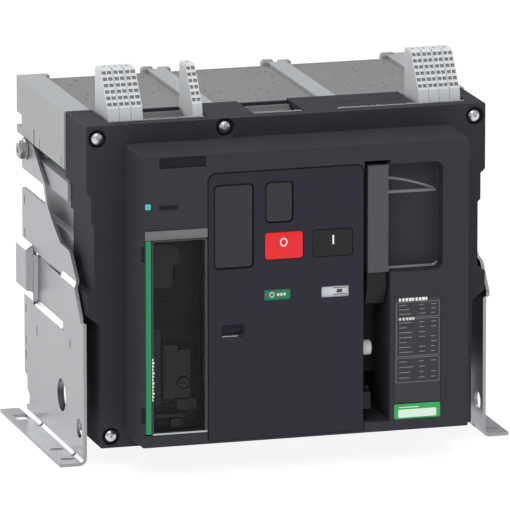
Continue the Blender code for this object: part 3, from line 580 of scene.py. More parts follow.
# ------------------------------------------------------------------ arc chutes
# A moulded cheek drops into the chamber over each pole. Its lid is flush with the rim, and a thin
# scatter of small moulded pips stands on it.

chute_grey = moulded("chute_grey", (0.222, 0.222, 0.224), 0.62, grain=0.2, grain_size=800.0, mottling=0.07,
                     specular=0.08)
CHUTE_BACK, CHUTE_TOP = 0.1389, 0.308


def geometry_tree(label, inputs):
    """A new Geometry Nodes tree with a mesh going in, named sizes, and a mesh coming out."""
    tree = bpy.data.node_groups.new(label, "GeometryNodeTree")
    tree.interface.new_socket("Geometry", in_out="INPUT", socket_type="NodeSocketGeometry")
    for name, kind in inputs.items():
        tree.interface.new_socket(name, in_out="INPUT", socket_type="NodeSocket" + kind)
    tree.interface.new_socket("Geometry", in_out="OUTPUT", socket_type="NodeSocketGeometry")
    entry = tree.nodes.new("NodeGroupInput")
    wires = {socket.name: Wire(tree, socket) for socket in entry.outputs if socket.name}
    return tree, wires


def close_tree(tree, result, material):
    """Ends a tree: the copies are made real and get their material."""
    real = result.add("GeometryNodeRealizeInstances", None, {"Geometry": result})
    done = real.add("GeometryNodeSetMaterial", None, {"Geometry": real, "Material": material})
    out = tree.nodes.new("NodeGroupOutput")
    tree.links.new(done.socket, out.inputs["Geometry"])


def through_tree(obj, tree, values):
    """Runs a piece through a tree, with its named sizes set before it is evaluated."""
    modifier = obj.modifiers.new(tree.name, "NODES")
    modifier.node_group = tree
    for socket in tree.interface.items_tree:
        if socket.in_out == "INPUT" and socket.name in values:
            modifier[socket.identifier] = values[socket.name]
    settle(obj)
    return obj


def grown(name, tree, values, start=None):
    """A plain mesh from a Geometry Nodes tree, which may begin with some points."""
    mesh = bpy.data.meshes.new(name)
    mesh.from_pydata(start or [], [], [])
    obj = through_tree(added(name, mesh), tree, values)
    obj.data.shade_smooth()
    obj.data.set_sharp_from_angle(angle=math.radians(40))
    return obj


def pip_tree(material):
    """Small oval domes scattered over a rectangle, at random sizes and turns."""
    kinds = {"Width": "Float", "Depth": "Float", "Centre": "Vector", "Seed": "Int", "Pip": "Float"}
    tree, given = geometry_tree("pips", kinds)
    any_wire = given["Width"]
    sheet = any_wire.add("GeometryNodeMeshGrid", None,
                         {"Size X": given["Width"], "Size Y": given["Depth"], "Vertices X": 2,
                          "Vertices Y": 2})
    sheet = sheet.add("GeometryNodeTransform", None, {"Geometry": sheet, "Translation": given["Centre"]})
    spots = sheet.add("GeometryNodeDistributePointsOnFaces", {"distribute_method": "POISSON"},
                      {"Mesh": sheet, "Distance Min": 0.007, "Density Max": 2600.0, "Seed": given["Seed"]})
    dome = spots.add("GeometryNodeMeshUVSphere", None, {"Segments": 10, "Rings": 6, "Radius": given["Pip"]})
    dome = dome.add("GeometryNodeTransform", None, {"Geometry": dome, "Scale": (1.5, 0.8, 0.45)})
    turn = dome.add("FunctionNodeRandomValue", {"data_type": "FLOAT_VECTOR"},
                    {0: (0.0, 0.0, -0.5), 1: (0.0, 0.0, 0.5), "Seed": given["Seed"]})
    size = dome.add("FunctionNodeRandomValue", {"data_type": "FLOAT"},
                    {2: 0.45, 3: 1.25, "Seed": given["Seed"] + 7}, output=1)
    copies = spots.add("GeometryNodeInstanceOnPoints", None,
                       {"Points": spots, "Instance": dome, "Rotation": turn, "Scale": size})
    close_tree(tree, copies, material)
    return tree


def chute(name, x):
    half = CELL_HALF - GAP
    side_view = eased([(-0.0095, 0.236), (0.075, 0.236), (0.075, 0.2625), (CHUTE_BACK, 0.2625),
                       (CHUTE_BACK, CHUTE_TOP), (-0.0095, CHUTE_TOP)], 0.0008, 2)
    plan = [(x - half, -0.01), (x + half, -0.01), (x + half, 0.133), (x + half - 0.006, 0.1395),
            (x - half + 0.006, 0.1395), (x - half, 0.133)]
    tail = [(x - 0.0437, 0.137), (x + 0.0437, 0.137), (x + 0.0437, 0.1484), (x - 0.0437, 0.1484)]
    changes = [("keep", prism, plan, "Z", 0.2, 0.33),
               ("join", block, (x - half, -0.0184, 0.3062), (x + half, -0.008, CHUTE_TOP)),
               ("join", prism, tail, "Z", 0.3062, CHUTE_TOP)]
    for i in range(7):
        y = 0.003 + 0.0105 * i
        changes.append(("cut", block, (x - 0.04, y, 0.23), (x + 0.04, y + 0.0065, 0.29)))
    groove = ("cut", block, (x - half - 0.001, 0.1325, CHUTE_TOP - 0.0012),
              (x + half + 0.001, 0.1333, CHUTE_TOP + 0.01))
    changes.append(groove)
    return worked(name, (prism, side_view, "X", x - half, x + half), changes, 0.0007, 2)


pips = pip_tree(chute_grey)
for seed, (pole, x) in enumerate(POLES):
    fit(chute("chute_" + pole, x), chute_grey, "frame", "chute_moulding", "arc_chute_" + pole)
    scatter = grown("chute_pips_" + pole, pips,
                    {"Width": 0.084, "Depth": 0.118, "Centre": (x, 0.066, CHUTE_TOP + 0.0001),
                                                 "Seed": seed + 3, "Pip": 0.0011})
    fit(scatter, chute_grey, "frame", "chute_moulding")


# ------------------------------------------------------------------ spring mechanism
# A folded steel frame holds the camshaft, the closing spring under it and the pin of the charging
# handle. It sits behind the panel, where the handle well shows its edge.

frame_steel = rolled_steel("frame_steel", (0.34, 0.34, 0.35), 0.42)
oiled_spring = machined("oiled_spring_wire", (0.2, 0.2, 0.21), 0.3)


def spring_tree(material):
    """Round wire swept along a helix."""
    kinds = {"Turns": "Float", "Radius": "Float", "Height": "Float", "Wire": "Float", "Foot": "Vector"}
    tree, given = geometry_tree("spring", kinds)
    helix = given["Turns"].add("GeometryNodeCurveSpiral", None,
                               {"Resolution": 26, "Rotations": given["Turns"],
                                "Start Radius": given["Radius"],
                                "End Radius": given["Radius"], "Height": given["Height"]})
    section = helix.add("GeometryNodeCurvePrimitiveCircle", None,
                        {"Resolution": 12, "Radius": given["Wire"]})
    wire = helix.add("GeometryNodeCurveToMesh", None,
                     {"Curve": helix, "Profile Curve": section, "Fill Caps": True})
    put = wire.add("GeometryNodeTransform", None, {"Geometry": wire, "Translation": given["Foot"]})
    close_tree(tree, put, material)
    return tree


spring = grown("main_spring", spring_tree(oiled_spring),
               {"Turns": 6.0, "Radius": 0.011, "Height": 0.066, "Wire": 0.0017,
                "Foot": (-0.038, -0.1, 0.062)})
fit(spring, oiled_spring, "frame", "bolt_steel", "closing_spring")
fit(deburred("mechanism_frame", "folded_frame", 0.0004), frame_steel, "frame", "zinc_steel",
    "mechanism_frame")
fit(deburred("camshaft", "cam_and_ratchet", 0.0003), turned_steel, "camshaft", "bolt_steel", "camshaft")
fit(deburred("handle_pin", "handle_pivot_pin", 0.0004), turned_steel, "frame", "bolt_steel", "handle_pin")


# ------------------------------------------------------------------ front cover
# One deep black moulding closes the front: a frame with an ear on each side, a raised panel with
# windows for the controls, and a gallery for wiring along the top.

PANEL_FRONT, COVER_FRONT, SEAM = -0.1485, -0.0885, -0.019
FASCIA_BACK, PANEL_WALL_BACK = -0.1465, -0.1425
COVER_HALF_OUTLINE = (
    (0.1742, 0.0155), (0.1742, 0.1285), (0.1865, 0.1385), (0.1865, 0.1565), (0.1795, 0.158),
    (0.1795, 0.2205),
    (0.182, 0.2225), (0.182, 0.2465), (0.1862, 0.2505), (0.1862, 0.311),
)
GALLERY_FLOOR, GALLERY_FRONT, COVER_TOP = 0.299, -0.0755, 0.311
GALLERIES = ((-0.162, -0.0703), (-0.027, 0.02), (0.05, 0.1722))
SCREW_PLACES = ((-0.1755, 0.299), (-0.0574, 0.3027), (0.1763, 0.2992), (-0.1638, 0.0257))
BUTTON_OFF = ((-0.038, 0.1934), (-0.0028, 0.218))
BUTTON_ON = ((0.0064, 0.1932), (0.0432, 0.2178))
STATE_WINDOW = ((-0.0383, 0.1558), (-0.0137, 0.1654))
SPRING_WINDOW = ((0.0148, 0.1556), (0.04, 0.165))
COUNTER_WINDOW = ((-0.078, 0.1254), (-0.0576, 0.1356))
KEY_WINDOW = ((-0.0855, 0.1874), (-0.0487, 0.2642))
PADLOCK_WINDOW = ((-0.038, 0.2268), (-0.0119, 0.2643))
RATING_WINDOW = ((0.0826, 0.0532), (0.126, 0.15))
LABEL_WINDOW = ((0.0826, 0.0386), (0.126, 0.0525))
LAMP_WINDOW = ((-0.1487, 0.2456), (-0.1432, 0.2511))
FRONT_CUT = PANEL_FRONT - 0.01


def arched(low, high, radius, steps=6):
    """A rectangle with its two upper corners round."""
    upper = rounded(low, high, radius, steps)[2 * steps + 2:]
    return [low, (high[0], low[1]), *upper]


def grown_by(window, by=GAP):
    (x0, z0), (x1, z1) = window
    return (x0 - by, z0 - by), (x1 + by, z1 + by)


def finger_recess():
    """A pocket beside the handle with a chamfer round its floor, stepped deeper behind the top."""
    left = 0.077
    mouth = rounded((0.05, 0.1744), (0.1277, 0.2738), 0.007, 6)
    low = rounded((0.05, 0.1752), (0.1274, 0.2736), 0.0066, 6)
    floor = rounded((0.05, 0.1771), (0.1264, 0.2734), 0.0056, 6)
    cuts = [("cut", taper, keep_right(mouth, left), keep_right(low, left), "Y", PANEL_FRONT - 0.0001,
             -0.1361),
            ("cut", taper, keep_right(low, left), keep_right(floor, left), "Y", -0.1362, -0.1345)]
    low_step = [(left, 0.2437), (0.1258, 0.2434), (0.1258, 0.272), (left, 0.272)]
    low_floor = [(left, 0.2462), (0.1246, 0.2459), (0.1246, 0.2715), (left, 0.2715)]
    cuts.append(("cut", taper, low_step, low_floor, "Y", -0.1346, -0.133))
    curve = [(left + 0.0478 * t, 0.257 - 0.0124 * t ** 1.5) for t in (i / 12 for i in range(13))]
    high_step = curve + [(0.1248, 0.2712), (left, 0.2712)]
    high_floor = [(x, z + 0.0021) for x, z in curve] + [(0.1248, 0.2708), (left, 0.2708)]
    cuts.append(("cut", taper, high_step, high_floor, "Y", -0.1331, -0.1316))
    return cuts


def keep_right(outline, left):
    """An outline with its points left of a line moved onto the line."""
    return [(max(left, x), z) for x, z in outline]


def cover_changes():
    panel = (PANEL_FRONT, COVER_FRONT + 0.004)
    back, front = ((-0.1524, 0.0282), (0.1524, 0.2934)), ((-0.1519, 0.0286), (0.1519, 0.293))
    changes = [("join", taper, rounded(*front, 0.0015, 3), rounded(*back, 0.0015, 3), "Y", *panel)]
    changes += [
        ("cut", block, (-0.166, COVER_FRONT + 0.003, 0.052), (0.166, 0.0, 0.286)),
        ("cut", block, (-0.166, COVER_FRONT + 0.003, 0.036), (0.166, SEAM - 0.003, 0.053)),
        ("cut", block, (-0.149, PANEL_WALL_BACK, 0.038), (0.149, COVER_FRONT + 0.01, 0.285)),
        ("join", block, (0.08, PANEL_WALL_BACK - 0.002, 0.17), (0.132, -0.128, 0.28)),
        ("join", block, (0.0788, PANEL_WALL_BACK - 0.001, 0.036), (0.0815, -0.1, 0.172)),
        ("cut", barrel, (-0.122, 0.16), "X", 0.0033, 0.075, 0.09),
    ]
    changes += finger_recess()
    for low, high, radius in (((0.0541, 0.0375), (0.0785, 0.2776), 0.001),
                              ((-0.1492, 0.0395), (-0.0908, 0.2268), 0.001)):
        changes.append(("cut", plate, low, high, radius, 3, FRONT_CUT, -0.12))
    changes.append(("cut", prism, arched((-0.0914, 0.0306), (0.0543, 0.2756), 0.0085), "Y", FRONT_CUT,
                    FASCIA_BACK + GAP))
    changes.append(("cut", block, (-0.0868, FRONT_CUT, 0.042), (0.049, -0.12, 0.271)))
    for window in (RATING_WINDOW, LABEL_WINDOW):
        changes.append(("cut", plate, *grown_by(window), 0.0022, 4, FRONT_CUT, PANEL_FRONT + 0.001))
    changes.append(("cut", plate, *grown_by(LAMP_WINDOW), 0.0012, 3, FRONT_CUT, -0.12))
    name_field = rounded((-0.1353, 0.2822), (-0.0926, 0.2918), 0.001, 3)
    changes.append(("cut", prism, name_field, "Y", FRONT_CUT, PANEL_FRONT + 0.0014))
    for low in (0.0512, 0.1988):
        changes.append(("cut", block, (-0.16, FRONT_CUT, low), (-0.1494, -0.144, low + 0.014)))
    for start, end in GALLERIES:
        changes.append(("cut", block, (start, GALLERY_FRONT, GALLERY_FLOOR), (end, 0.0, 0.33)))
    for centre in SCREW_PLACES:
        rim = ((0.0094, COVER_FRONT - 0.01), (0.0094, COVER_FRONT), (0.0082, COVER_FRONT + 0.0012),
               (0.008, -0.082))
        changes.append(("cut", lathe, centre, "Y", rim, 40))
        changes.append(("cut", barrel, centre, "Y", 0.0033, -0.1, 0.0, 24))
    for side in (-1, 1):
        for low, high in ((0.03, 0.12), (0.166, 0.214)):
            groove = ((0.1735, SEAM - 0.0032, low), (0.19, SEAM - 0.002, high))
            changes.append(("cut", block, *sided(side, *groove)))
    return changes


cover_black = moulded("cover_black", (0.043, 0.0447, 0.0515), 0.5, grain=0.09, mottling=0.03,
                      specular=0.012)
# Painted highlight: a lighter, glossier black for the recess ledges that catch the light.
painted_ledge_highlight = moulded("painted_ledge_highlight", (0.19, 0.19, 0.2), 0.3, grain=0.03, mottling=0.08)


def paint_ledge_highlights(obj):
    """Painted highlight: the up-facing ledges at the bottom and the back of the recess get a lighter,
    glossier black, standing in for the light they catch.
    """
    obj.data.materials.append(painted_ledge_highlight)
    for face in obj.data.polygons:
        x, y, z = face.center
        inside = 0.0772 < x < 0.1276 and -0.1486 < y < -0.13 and 0.1735 < z < 0.26
        if inside and face.normal.z > 0.4 and face.normal.y < -0.25:
            face.material_index = 1


cover_outline = list(COVER_HALF_OUTLINE) + [(-x, z) for x, z in reversed(COVER_HALF_OUTLINE)]
cover_frame = (prism, eased(cover_outline, 0.0012, 3), "Y", COVER_FRONT, SEAM)
cover = worked("cover_moulding", cover_frame, cover_changes(), 0.0006, 2)
fit(cover, cover_black, "frame", "black_moulding", "front_cover")
paint_ledge_highlights(cover)


# ------------------------------------------------------------------ cover screws
# Four domed screws with a cross recess hold the cover. They are cold headed and bright plated,
# and each sits at the bottom of a round seat.

bright_plate = rolled_steel("bright_screw_plate", (0.62, 0.62, 0.63), 0.3, 0.03)


def screw_tree(material):
    """One screw copied to each place of the incoming points."""
    tree, given = geometry_tree("cover_screws", {"Screw": "Object"})
    model = given["Screw"].add("GeometryNodeObjectInfo", None, {"Object": given["Screw"]}, output=4)
    spots = model.add("GeometryNodeMeshToPoints", None, {"Mesh": given["Geometry"]})
    close_tree(tree, spots.add("GeometryNodeInstanceOnPoints", None, {"Points": spots, "Instance": model}),
               material)
    return tree


def domed_screw():
    """A screw whose crown touches y = 0, pointing backwards."""
    crown = [(0.0001, 0.0)] + [(0.0062 * math.sin(a), 0.0034 * (1 - math.cos(a)))
                               for a in (math.radians(11 * i) for i in range(1, 9))]
    profile = crown + [(0.006, 0.0065), (0.003, 0.0065), (0.003, 0.04)]
    changes = []
    for turn in (0.35, 0.35 + math.pi / 2):
        arm = [(u * math.cos(turn) - v * math.sin(turn), u * math.sin(turn) + v * math.cos(turn))
               for u, v in ((-0.0024, -0.0004), (0.0024, -0.0004), (0.0024, 0.0004), (-0.0024, 0.0004))]
        tip = [(0.45 * u, 0.45 * v) for u, v in arm]
        changes.append(("cut", taper, arm, tip, "Y", -0.001, 0.0016))
    return worked("screw_model", (lathe, (0.0, 0.0), "Y", profile, 40), changes, 0.00015, 1)


model = domed_screw()
screws = grown("cover_screws", screw_tree(bright_plate), {"Screw": model},
               [(x, COVER_FRONT + 0.0003, z) for x, z in SCREW_PLACES])
bpy.data.objects.remove(model, do_unlink=True)
fit(screws, bright_plate, "frame", "chrome_screw", "cover_screw_top_left", "cover_screw_top_middle",
    "cover_screw_top_right", "cover_screw_bottom_left")


# ------------------------------------------------------------------ mechanism fascia
# A thin plate over the mechanism, let into the panel with a fine gap all round. Two blanking
# plates close the places for a key lock and a padlock tab.

fascia_blue = moulded("fascia_blue_black", (0.029, 0.0296, 0.0415), 0.46, grain=0.07, mottling=0.03,
                      specular=0.06)
blank_black = moulded("blank_black", (0.044, 0.0428, 0.049), 0.46, grain=0.08, mottling=0.03, specular=0.06)


def fascia():
    changes = []
    for window, radius in ((BUTTON_OFF, 0.003), (BUTTON_ON, 0.003), (COUNTER_WINDOW, 0.0012),
                           (KEY_WINDOW, 0.0048),
                           (PADLOCK_WINDOW, 0.0048), (STATE_WINDOW, 0.001), (SPRING_WINDOW, 0.001)):
        changes.append(("cut", plate, *grown_by(window), radius, 5, FRONT_CUT, -0.14))
    outline = arched((-0.0903, 0.0309), (0.0536, 0.2745), 0.0078)
    return worked("fascia_plate", (prism, outline, "Y", PANEL_FRONT, FASCIA_BACK), changes, 0.00035, 2)


def blanking_plate(name, window):
    """A plate on a shallower step, so that a dark gap shows all round it."""
    step = rounded(*grown_by(window, -0.0001), 0.0045, 5)
    face = rounded(*grown_by(window, -0.0013), 0.0036, 5)
    return worked(name, (prism, step, "Y", PANEL_FRONT + 0.0022, PANEL_FRONT + 0.007),
                  [("join", prism, face, "Y", PANEL_FRONT + 0.0002, PANEL_FRONT + 0.003)], 0.00035, 2)


fit(fascia(), fascia_blue, "frame", "fascia_moulding", "mechanism_fascia")
for name, window, node in (("key_lock_plate", KEY_WINDOW, "key_lock_blank"),
                           ("padlock_plate", PADLOCK_WINDOW, "padlock_blank")):
    fit(blanking_plate(name, window), blank_black, "frame", "black_moulding", node)


# ------------------------------------------------------------------ push buttons
# A red cap opens the breaker and a black one closes it. Each is moulded with a slightly crowned
# face on a square stem, and carries a pad printed ring or bar.


def printed(name, colour, roughness=0.45, wear=0.1):
    """Pad print ink or label film: an even coat with small thin spots."""
    material, shader, tree, place = finish_of(name)
    thin = noise(place, 900.0, 3.0)
    feed(shader, Base_Color=toned(thin, colour, wear))
    feed(shader, Roughness=roughness - 0.05 + 0.1 * thin)
    return material


def button(name, window):
    (x0, z0), (x1, z1) = window
    mid_x, mid_z = 0.5 * (x0 + x1), 0.5 * (z0 + z1)
    rings = []
    for inset, y in ((0.0, -0.136), (0.0, PANEL_FRONT + 0.0006), (0.0006, PANEL_FRONT + 0.0001),
                     (0.003, PANEL_FRONT)):
        outline = rounded((x0 + inset, z0 + inset), (x1 - inset, z1 - inset), 0.0028, 6)
        rings.append([(x, y, z) for x, z in outline])
    stem = ("join", block, (mid_x - 0.003, -0.137, mid_z - 0.003), (mid_x + 0.003, -0.112, mid_z + 0.003))
    return worked(name, (loft, rings), [stem], 0.0002, 2)


INK_FRONT, INK_BACK = -0.00012, 0.0003


def ring_print(name, centre, radius, width, y):
    """A flat printed ring, a little taller than it is wide."""
    outer = [(centre[0] + 0.86 * radius * math.cos(a), centre[1] + radius * math.sin(a))
             for a in (2 * math.pi * i / 48 for i in range(48))]
    inner = [(centre[0] + (u - centre[0]) * (1 - width), centre[1] + (v - centre[1]) * (1 - width)) for u,
             v in outer]
    return worked(name, (prism, outer, "Y", y + INK_FRONT, y + INK_BACK),
                  [("cut", prism, inner, "Y", y - 0.01, y + 0.01)], 0.0, 1)


def bar_print(name, low, high, y, radius=0.0003):
    return worked(name, (plate, low, high, radius, 3, y + INK_FRONT, y + INK_BACK), [], 0.00004, 1)


signal_red = moulded("signal_red", (0.8, 0.016, 0.022), 0.34, grain=0.03, mottling=0.02, specular=0.3)
button_black = moulded("button_black", (0.019, 0.0192, 0.02), 0.36, grain=0.03, mottling=0.03,
                       specular=0.15)
white_ink = printed("white_ink", (0.84, 0.82, 0.8))
fit(button("red_push_button", BUTTON_OFF), signal_red, "open_button", "red_button", "open_button")
fit(button("black_push_button", BUTTON_ON), button_black, "close_button", "black_button", "close_button")
fit(ring_print("ring_on_red_button", (-0.0208, 0.2087), 0.004, 0.3, PANEL_FRONT), white_ink, "open_button",
    "red_button")
fit(bar_print("bar_on_black_button", (0.0244, 0.204), (0.026, 0.2124), PANEL_FRONT), white_ink,
    "close_button",
    "black_button")


# ------------------------------------------------------------------ indicators and counter
# Two flags slide behind windows in the fascia: green with a ring while the contacts are open, and
# pale with a spring sign while the spring is slack. A drum counter sits lower on the left.

flag_green = moulded("flag_green", (0.01, 0.2, 0.095), 0.32, grain=0.02, mottling=0.03)
flag_pale = moulded("flag_pale", (0.66, 0.67, 0.69), 0.35, grain=0.02, mottling=0.02)
ink_black = printed("black_ink", (0.02, 0.02, 0.022))
counter_black = moulded("counter_black", (0.017, 0.0175, 0.0215), 0.5, grain=0.04, specular=0.1)
counter_grey = moulded("counter_grey", (0.021, 0.021, 0.025), 0.5, grain=0.04, specular=0.1)
lip_grey = moulded("lip_grey", (0.27, 0.27, 0.28), 0.4, grain=0.04)
FLAG_FACE = FASCIA_BACK + 0.0005
TRAVEL = 0.012


def flag(name, window):
    (x0, z0), (x1, z1) = window
    outline = rounded((x0 - 0.002, z0 - 0.0015), (x1 + 0.002, z1 + TRAVEL + 0.0015), 0.0008, 3)
    finger = ("join", block, (x0 + 0.006, FLAG_FACE + 0.0008, z0 - 0.0012),
              (x1 - 0.006, FLAG_FACE + 0.0023, z1 + TRAVEL))
    return worked(name, (prism, outline, "Y", FLAG_FACE, FLAG_FACE + 0.0018), [finger], 0.0002, 1)


def spring_sign(name, start, low, high, turns):
    """A zigzag line, the usual sign for a spring."""
    width, half = 0.0011, 0.0003
    ink = (FLAG_FACE + INK_FRONT, FLAG_FACE + 0.0002)
    changes = []
    for i in range(turns):
        x = start + width * i
        rise = [(x - half, low), (x + half, low), (x + width + half, high), (x + width - half, high)]
        fall = [(x + width - half, high), (x + width + half, high), (x + width + half, low),
                (x + width - half, low)]
        changes += [("join", prism, stroke, "Y", *ink) for stroke in (rise, fall)]
    first = (plate, (start - half, low), (start + half, high), 0.0001, 2, *ink)
    return worked(name, first, changes, 0.0, 1)


fit(flag("state_flag", STATE_WINDOW), flag_green, "position_flag", "green_flag", "position_flag")
fit(ring_print("ring_on_state_flag", (-0.031, 0.1606), 0.0026, 0.3, FLAG_FACE), white_ink, "position_flag",
    "green_flag")
for number, (x0, x1) in enumerate(((-0.0262, -0.0242), (-0.0232, -0.0212), (-0.0202, -0.0182))):
    fit(bar_print(f"mark_on_state_flag_{number}", (x0, 0.1594), (x1, 0.1618), FLAG_FACE), white_ink,
        "position_flag",
        "green_flag")
fit(flag("spring_flag", SPRING_WINDOW), flag_pale, "charge_flag", "grey_flag", "charge_flag")
fit(spring_sign("spring_sign", 0.0296, 0.1586, 0.1622, 4), ink_black, "charge_flag", "grey_flag")
fit(bar_print("sign_rule_low", (0.0262, 0.1571), (0.0386, 0.1577), FLAG_FACE, 0.0001), ink_black,
    "charge_flag", "grey_flag")
fit(bar_print("sign_rule_high", (0.0262, 0.1631), (0.0386, 0.1637), FLAG_FACE, 0.0001), ink_black,
    "charge_flag", "grey_flag")


def counter():
    (x0, z0), (x1, z1) = COUNTER_WINDOW
    body = (plate, (x0, z0), (x1, z1), 0.001, 4, PANEL_FRONT + 0.0003, PANEL_FRONT + 0.006)
    changes = [("cut", plate, (x0 + 0.0015, z0 + 0.0022), (x1 - 0.0015, z1 - 0.0014), 0.0006, 3, FRONT_CUT,
                PANEL_FRONT + 0.0022)]
    return worked("counter_housing", body, changes, 0.0002, 2)


def counter_drums():
    """Five number drums side by side, seen through the window of the counter."""
    (x0, z0), (x1, z1) = COUNTER_WINDOW
    pitch = (x1 - x0 - 0.0036) / 5
    centre = (PANEL_FRONT + 0.0046, 0.5 * (z0 + z1) + 0.0004)
    changes = [("join", barrel, centre, "X", 0.0026, x0 + 0.0018 + pitch * i + 0.0002,
                x0 + 0.0018 + pitch * (i + 1) - 0.0002, 24)
               for i in range(5)]
    return worked("counter_drums", (barrel, centre, "X", 0.0022, x0 + 0.0018, x1 - 0.0018, 24), changes,
                  0.00008, 1)


fit(counter(), counter_black, "frame", "black_moulding", "operation_counter")
fit(counter_drums(), counter_grey, "frame", "black_moulding")
fit(bar_print("counter_lip", (-0.078, 0.1254), (-0.063, 0.1264), PANEL_FRONT + 0.0002), lip_grey, "frame",
    "black_moulding")


# ------------------------------------------------------------------ charging handle
# A long grey grip lies flush in the panel and is pulled down to wind the spring. A black arm under
# it turns on the pin, and a nylon roller and a stop block sit in the well below.

handle_grey = moulded("handle_grey", (0.078, 0.078, 0.088), 0.42, grain=0.07, mottling=0.03, specular=0.22)
arm_black = moulded("arm_black", (0.0125, 0.0122, 0.014), 0.42, grain=0.06, specular=0.2)
nylon_white = moulded("nylon_white", (0.58, 0.57, 0.55), 0.4, grain=0.02)


def handle_grip():
    side_view = eased([(PANEL_FRONT, 0.175), (PANEL_FRONT, 0.2733), (-0.133, 0.2733), (-0.133, 0.182),
                       (-0.139, 0.175)], 0.0016, 4)
    changes = [("cut", block, (0.06, -0.137, 0.188), (0.075, -0.12, 0.269)),
               ("cut", plate, (0.0766, 0.178), (0.079, 0.271), 0.0004, 2, FRONT_CUT, -0.146)]
    return worked("handle_grip", (prism, side_view, "X", 0.0577, 0.0773), changes, 0.0007, 3)


def handle_arm():
    outline = eased([(-0.144, 0.179), (-0.1335, 0.23), (-0.127, 0.23), (-0.1145, 0.168), (-0.1145, 0.1525),
                     (-0.124, 0.144), (-0.137, 0.144), (-0.144, 0.16)], 0.0022, 4)
    changes = [("cut", barrel, (-0.122, 0.16), "X", 0.0034, 0.05, 0.09, 28),
               ("join", lathe, (-0.122, 0.16), "X", ((0.0064, 0.0587), (0.0064, 0.0763)), 32),
               ("cut", barrel, (-0.122, 0.16), "X", 0.0034, 0.05, 0.09, 28)]
    return worked("handle_arm", (prism, outline, "X", 0.0582, 0.0762), changes, 0.0004, 2)


def well_stop():
    body = (plate, (0.056, 0.048), (0.0634, 0.064), 0.001, 3, -0.14, -0.115)
    return worked("well_stop", body, [("join", block, (0.0545, -0.125, 0.044), (0.066, -0.115, 0.066))],
                  0.0005, 2)


fit(handle_grip(), handle_grey, "charging_handle", "handle_moulding", "charging_handle")
fit(handle_arm(), arm_black, "charging_handle", "handle_moulding")
roller = ((0.002, 0.056), (0.0062, 0.056), (0.0068, 0.0568), (0.0068, 0.0634), (0.0062, 0.0642),
          (0.002, 0.0642))
fit(worked("well_roller", (lathe, (-0.133, 0.1036), "X", roller, 32), [], 0.0002, 1), nylon_white, "frame",
    "zinc_steel")
fit(well_stop(), arm_black, "frame", "zinc_steel")


# ------------------------------------------------------------------ trip unit
# The plug-in control unit: a black case with three soft keys, a rotary dial, a ledge and a battery
# tab. It shows through the smoked cover.

unit_black = moulded("unit_black", (0.005, 0.005, 0.0055), 0.5, grain=0.08, specular=0.15)
key_black = moulded("key_black", (0.021, 0.0218, 0.0238), 0.55, grain=0.05, specular=0.2)
dial_grey = moulded("dial_grey", (0.006, 0.006, 0.0066), 0.4, grain=0.04, specular=0.35)
lamp_lens = moulded("lamp_lens", (0.08, 0.49, 0.46), 0.25, grain=0.01, mottling=0.02)
UNIT_FACE, AHEAD = -0.135, -0.16
DIAL = (-0.1108, 0.0838)


def unit_case():
    """The case, sunk on its right side, with a pocket for the dial and a slot beside the display."""
    body = (plate, (-0.1475, 0.043), (-0.0925, 0.215), 0.002, 4, UNIT_FACE, -0.096)
    changes = [("cut", block, (-0.103, AHEAD, 0.047), (-0.0938, -0.13, 0.212)),
               ("cut", plate, (-0.117, 0.115), (-0.1028, 0.1385), 0.003, 4, AHEAD, -0.1325),
               ("cut", plate, (-0.12, 0.178), (-0.1172, 0.191), 0.0008, 3, AHEAD, -0.132),
               ("cut", block, (-0.144, AHEAD, 0.1686), (-0.117, UNIT_FACE + 0.0012, 0.1696))]
    for i in range(6):
        z = 0.1425 + 0.004 * i
        changes.append(("cut", plate, (-0.142, z), (-0.124, z + 0.0016), 0.0006, 3, -0.16,
                        UNIT_FACE + 0.001))
    return worked("trip_unit_case", body, changes, 0.0005, 2)


def unit_modules():
    """The parts that stand proud of the case: display, latch, setting module, ledge and battery tab."""
    front = UNIT_FACE + 0.001
    proud = (((-0.1228, 0.193), (-0.1134, 0.202), 0.003, 5, -0.1372),
             ((-0.1206, 0.199), (-0.1156, 0.2085), 0.0015, 4, -0.1368),
             ((-0.1294, 0.07), (-0.1045, 0.114), 0.0018, 4, -0.1378),
             ((-0.1294, 0.113), (-0.1165, 0.1187), 0.0015, 4, -0.1378),
             ((-0.1384, 0.064), (-0.1316, 0.133), 0.002, 4, -0.1364))
    changes = [("join", plate, *part, front) for part in proud]
    changes += [("join", plate, (-0.116, 0.0585), (-0.0985, 0.0685), 0.001, 3, -0.137, -0.129),
                ("join", block, (-0.143, -0.14, 0.0535), (-0.1096, front, 0.0562)),
                ("join", plate, (-0.1228, 0.0435), (-0.1134, 0.0515), 0.0015, 4, -0.139, front),
                ("cut", block, (-0.1282, AHEAD, 0.078), (-0.1274, -0.1362, 0.112)),
                ("cut", barrel, DIAL, "Y", 0.0066, AHEAD, -0.1356)]
    return worked("trip_unit_modules",
                  (plate, (-0.1417, 0.1715), (-0.1205, 0.211), 0.002, 4, -0.1368, front), changes,
                  0.0004, 2)


def unit_dial():
    profile = ((0.0056, UNIT_FACE + 0.0004), (0.0056, -0.1372), (0.0048, -0.1388), (0.0018, -0.139))
    slot = rounded((DIAL[0] - 0.0042, DIAL[1] - 0.0006), (DIAL[0] + 0.0042, DIAL[1] + 0.0006), 0.0004, 2)
    return worked("setting_dial", (lathe, DIAL, "Y", profile, 36),
                  [("cut", prism, slot, "Y", AHEAD, -0.1381)], 0.00025, 2)


fit(unit_case(), unit_black, "frame", "trip_unit_case", "trip_unit")
fit(unit_modules(), key_black, "frame", "trip_unit_case")
fit(unit_dial(), dial_grey, "frame", "trip_unit_case")
lamp = (plate, *LAMP_WINDOW, 0.001, 4, PANEL_FRONT - 0.0001, -0.144)
fit(worked("ready_lamp_lens", lamp, [], 0.0005, 3), lamp_lens, "frame", "lamp_lens", "ready_lamp")


# ------------------------------------------------------------------ smoked cover
# A clear smoked door over the trip unit. It swings to the left on a green strip with two knuckles,
# and a grey bar along its top is pulled to open it.


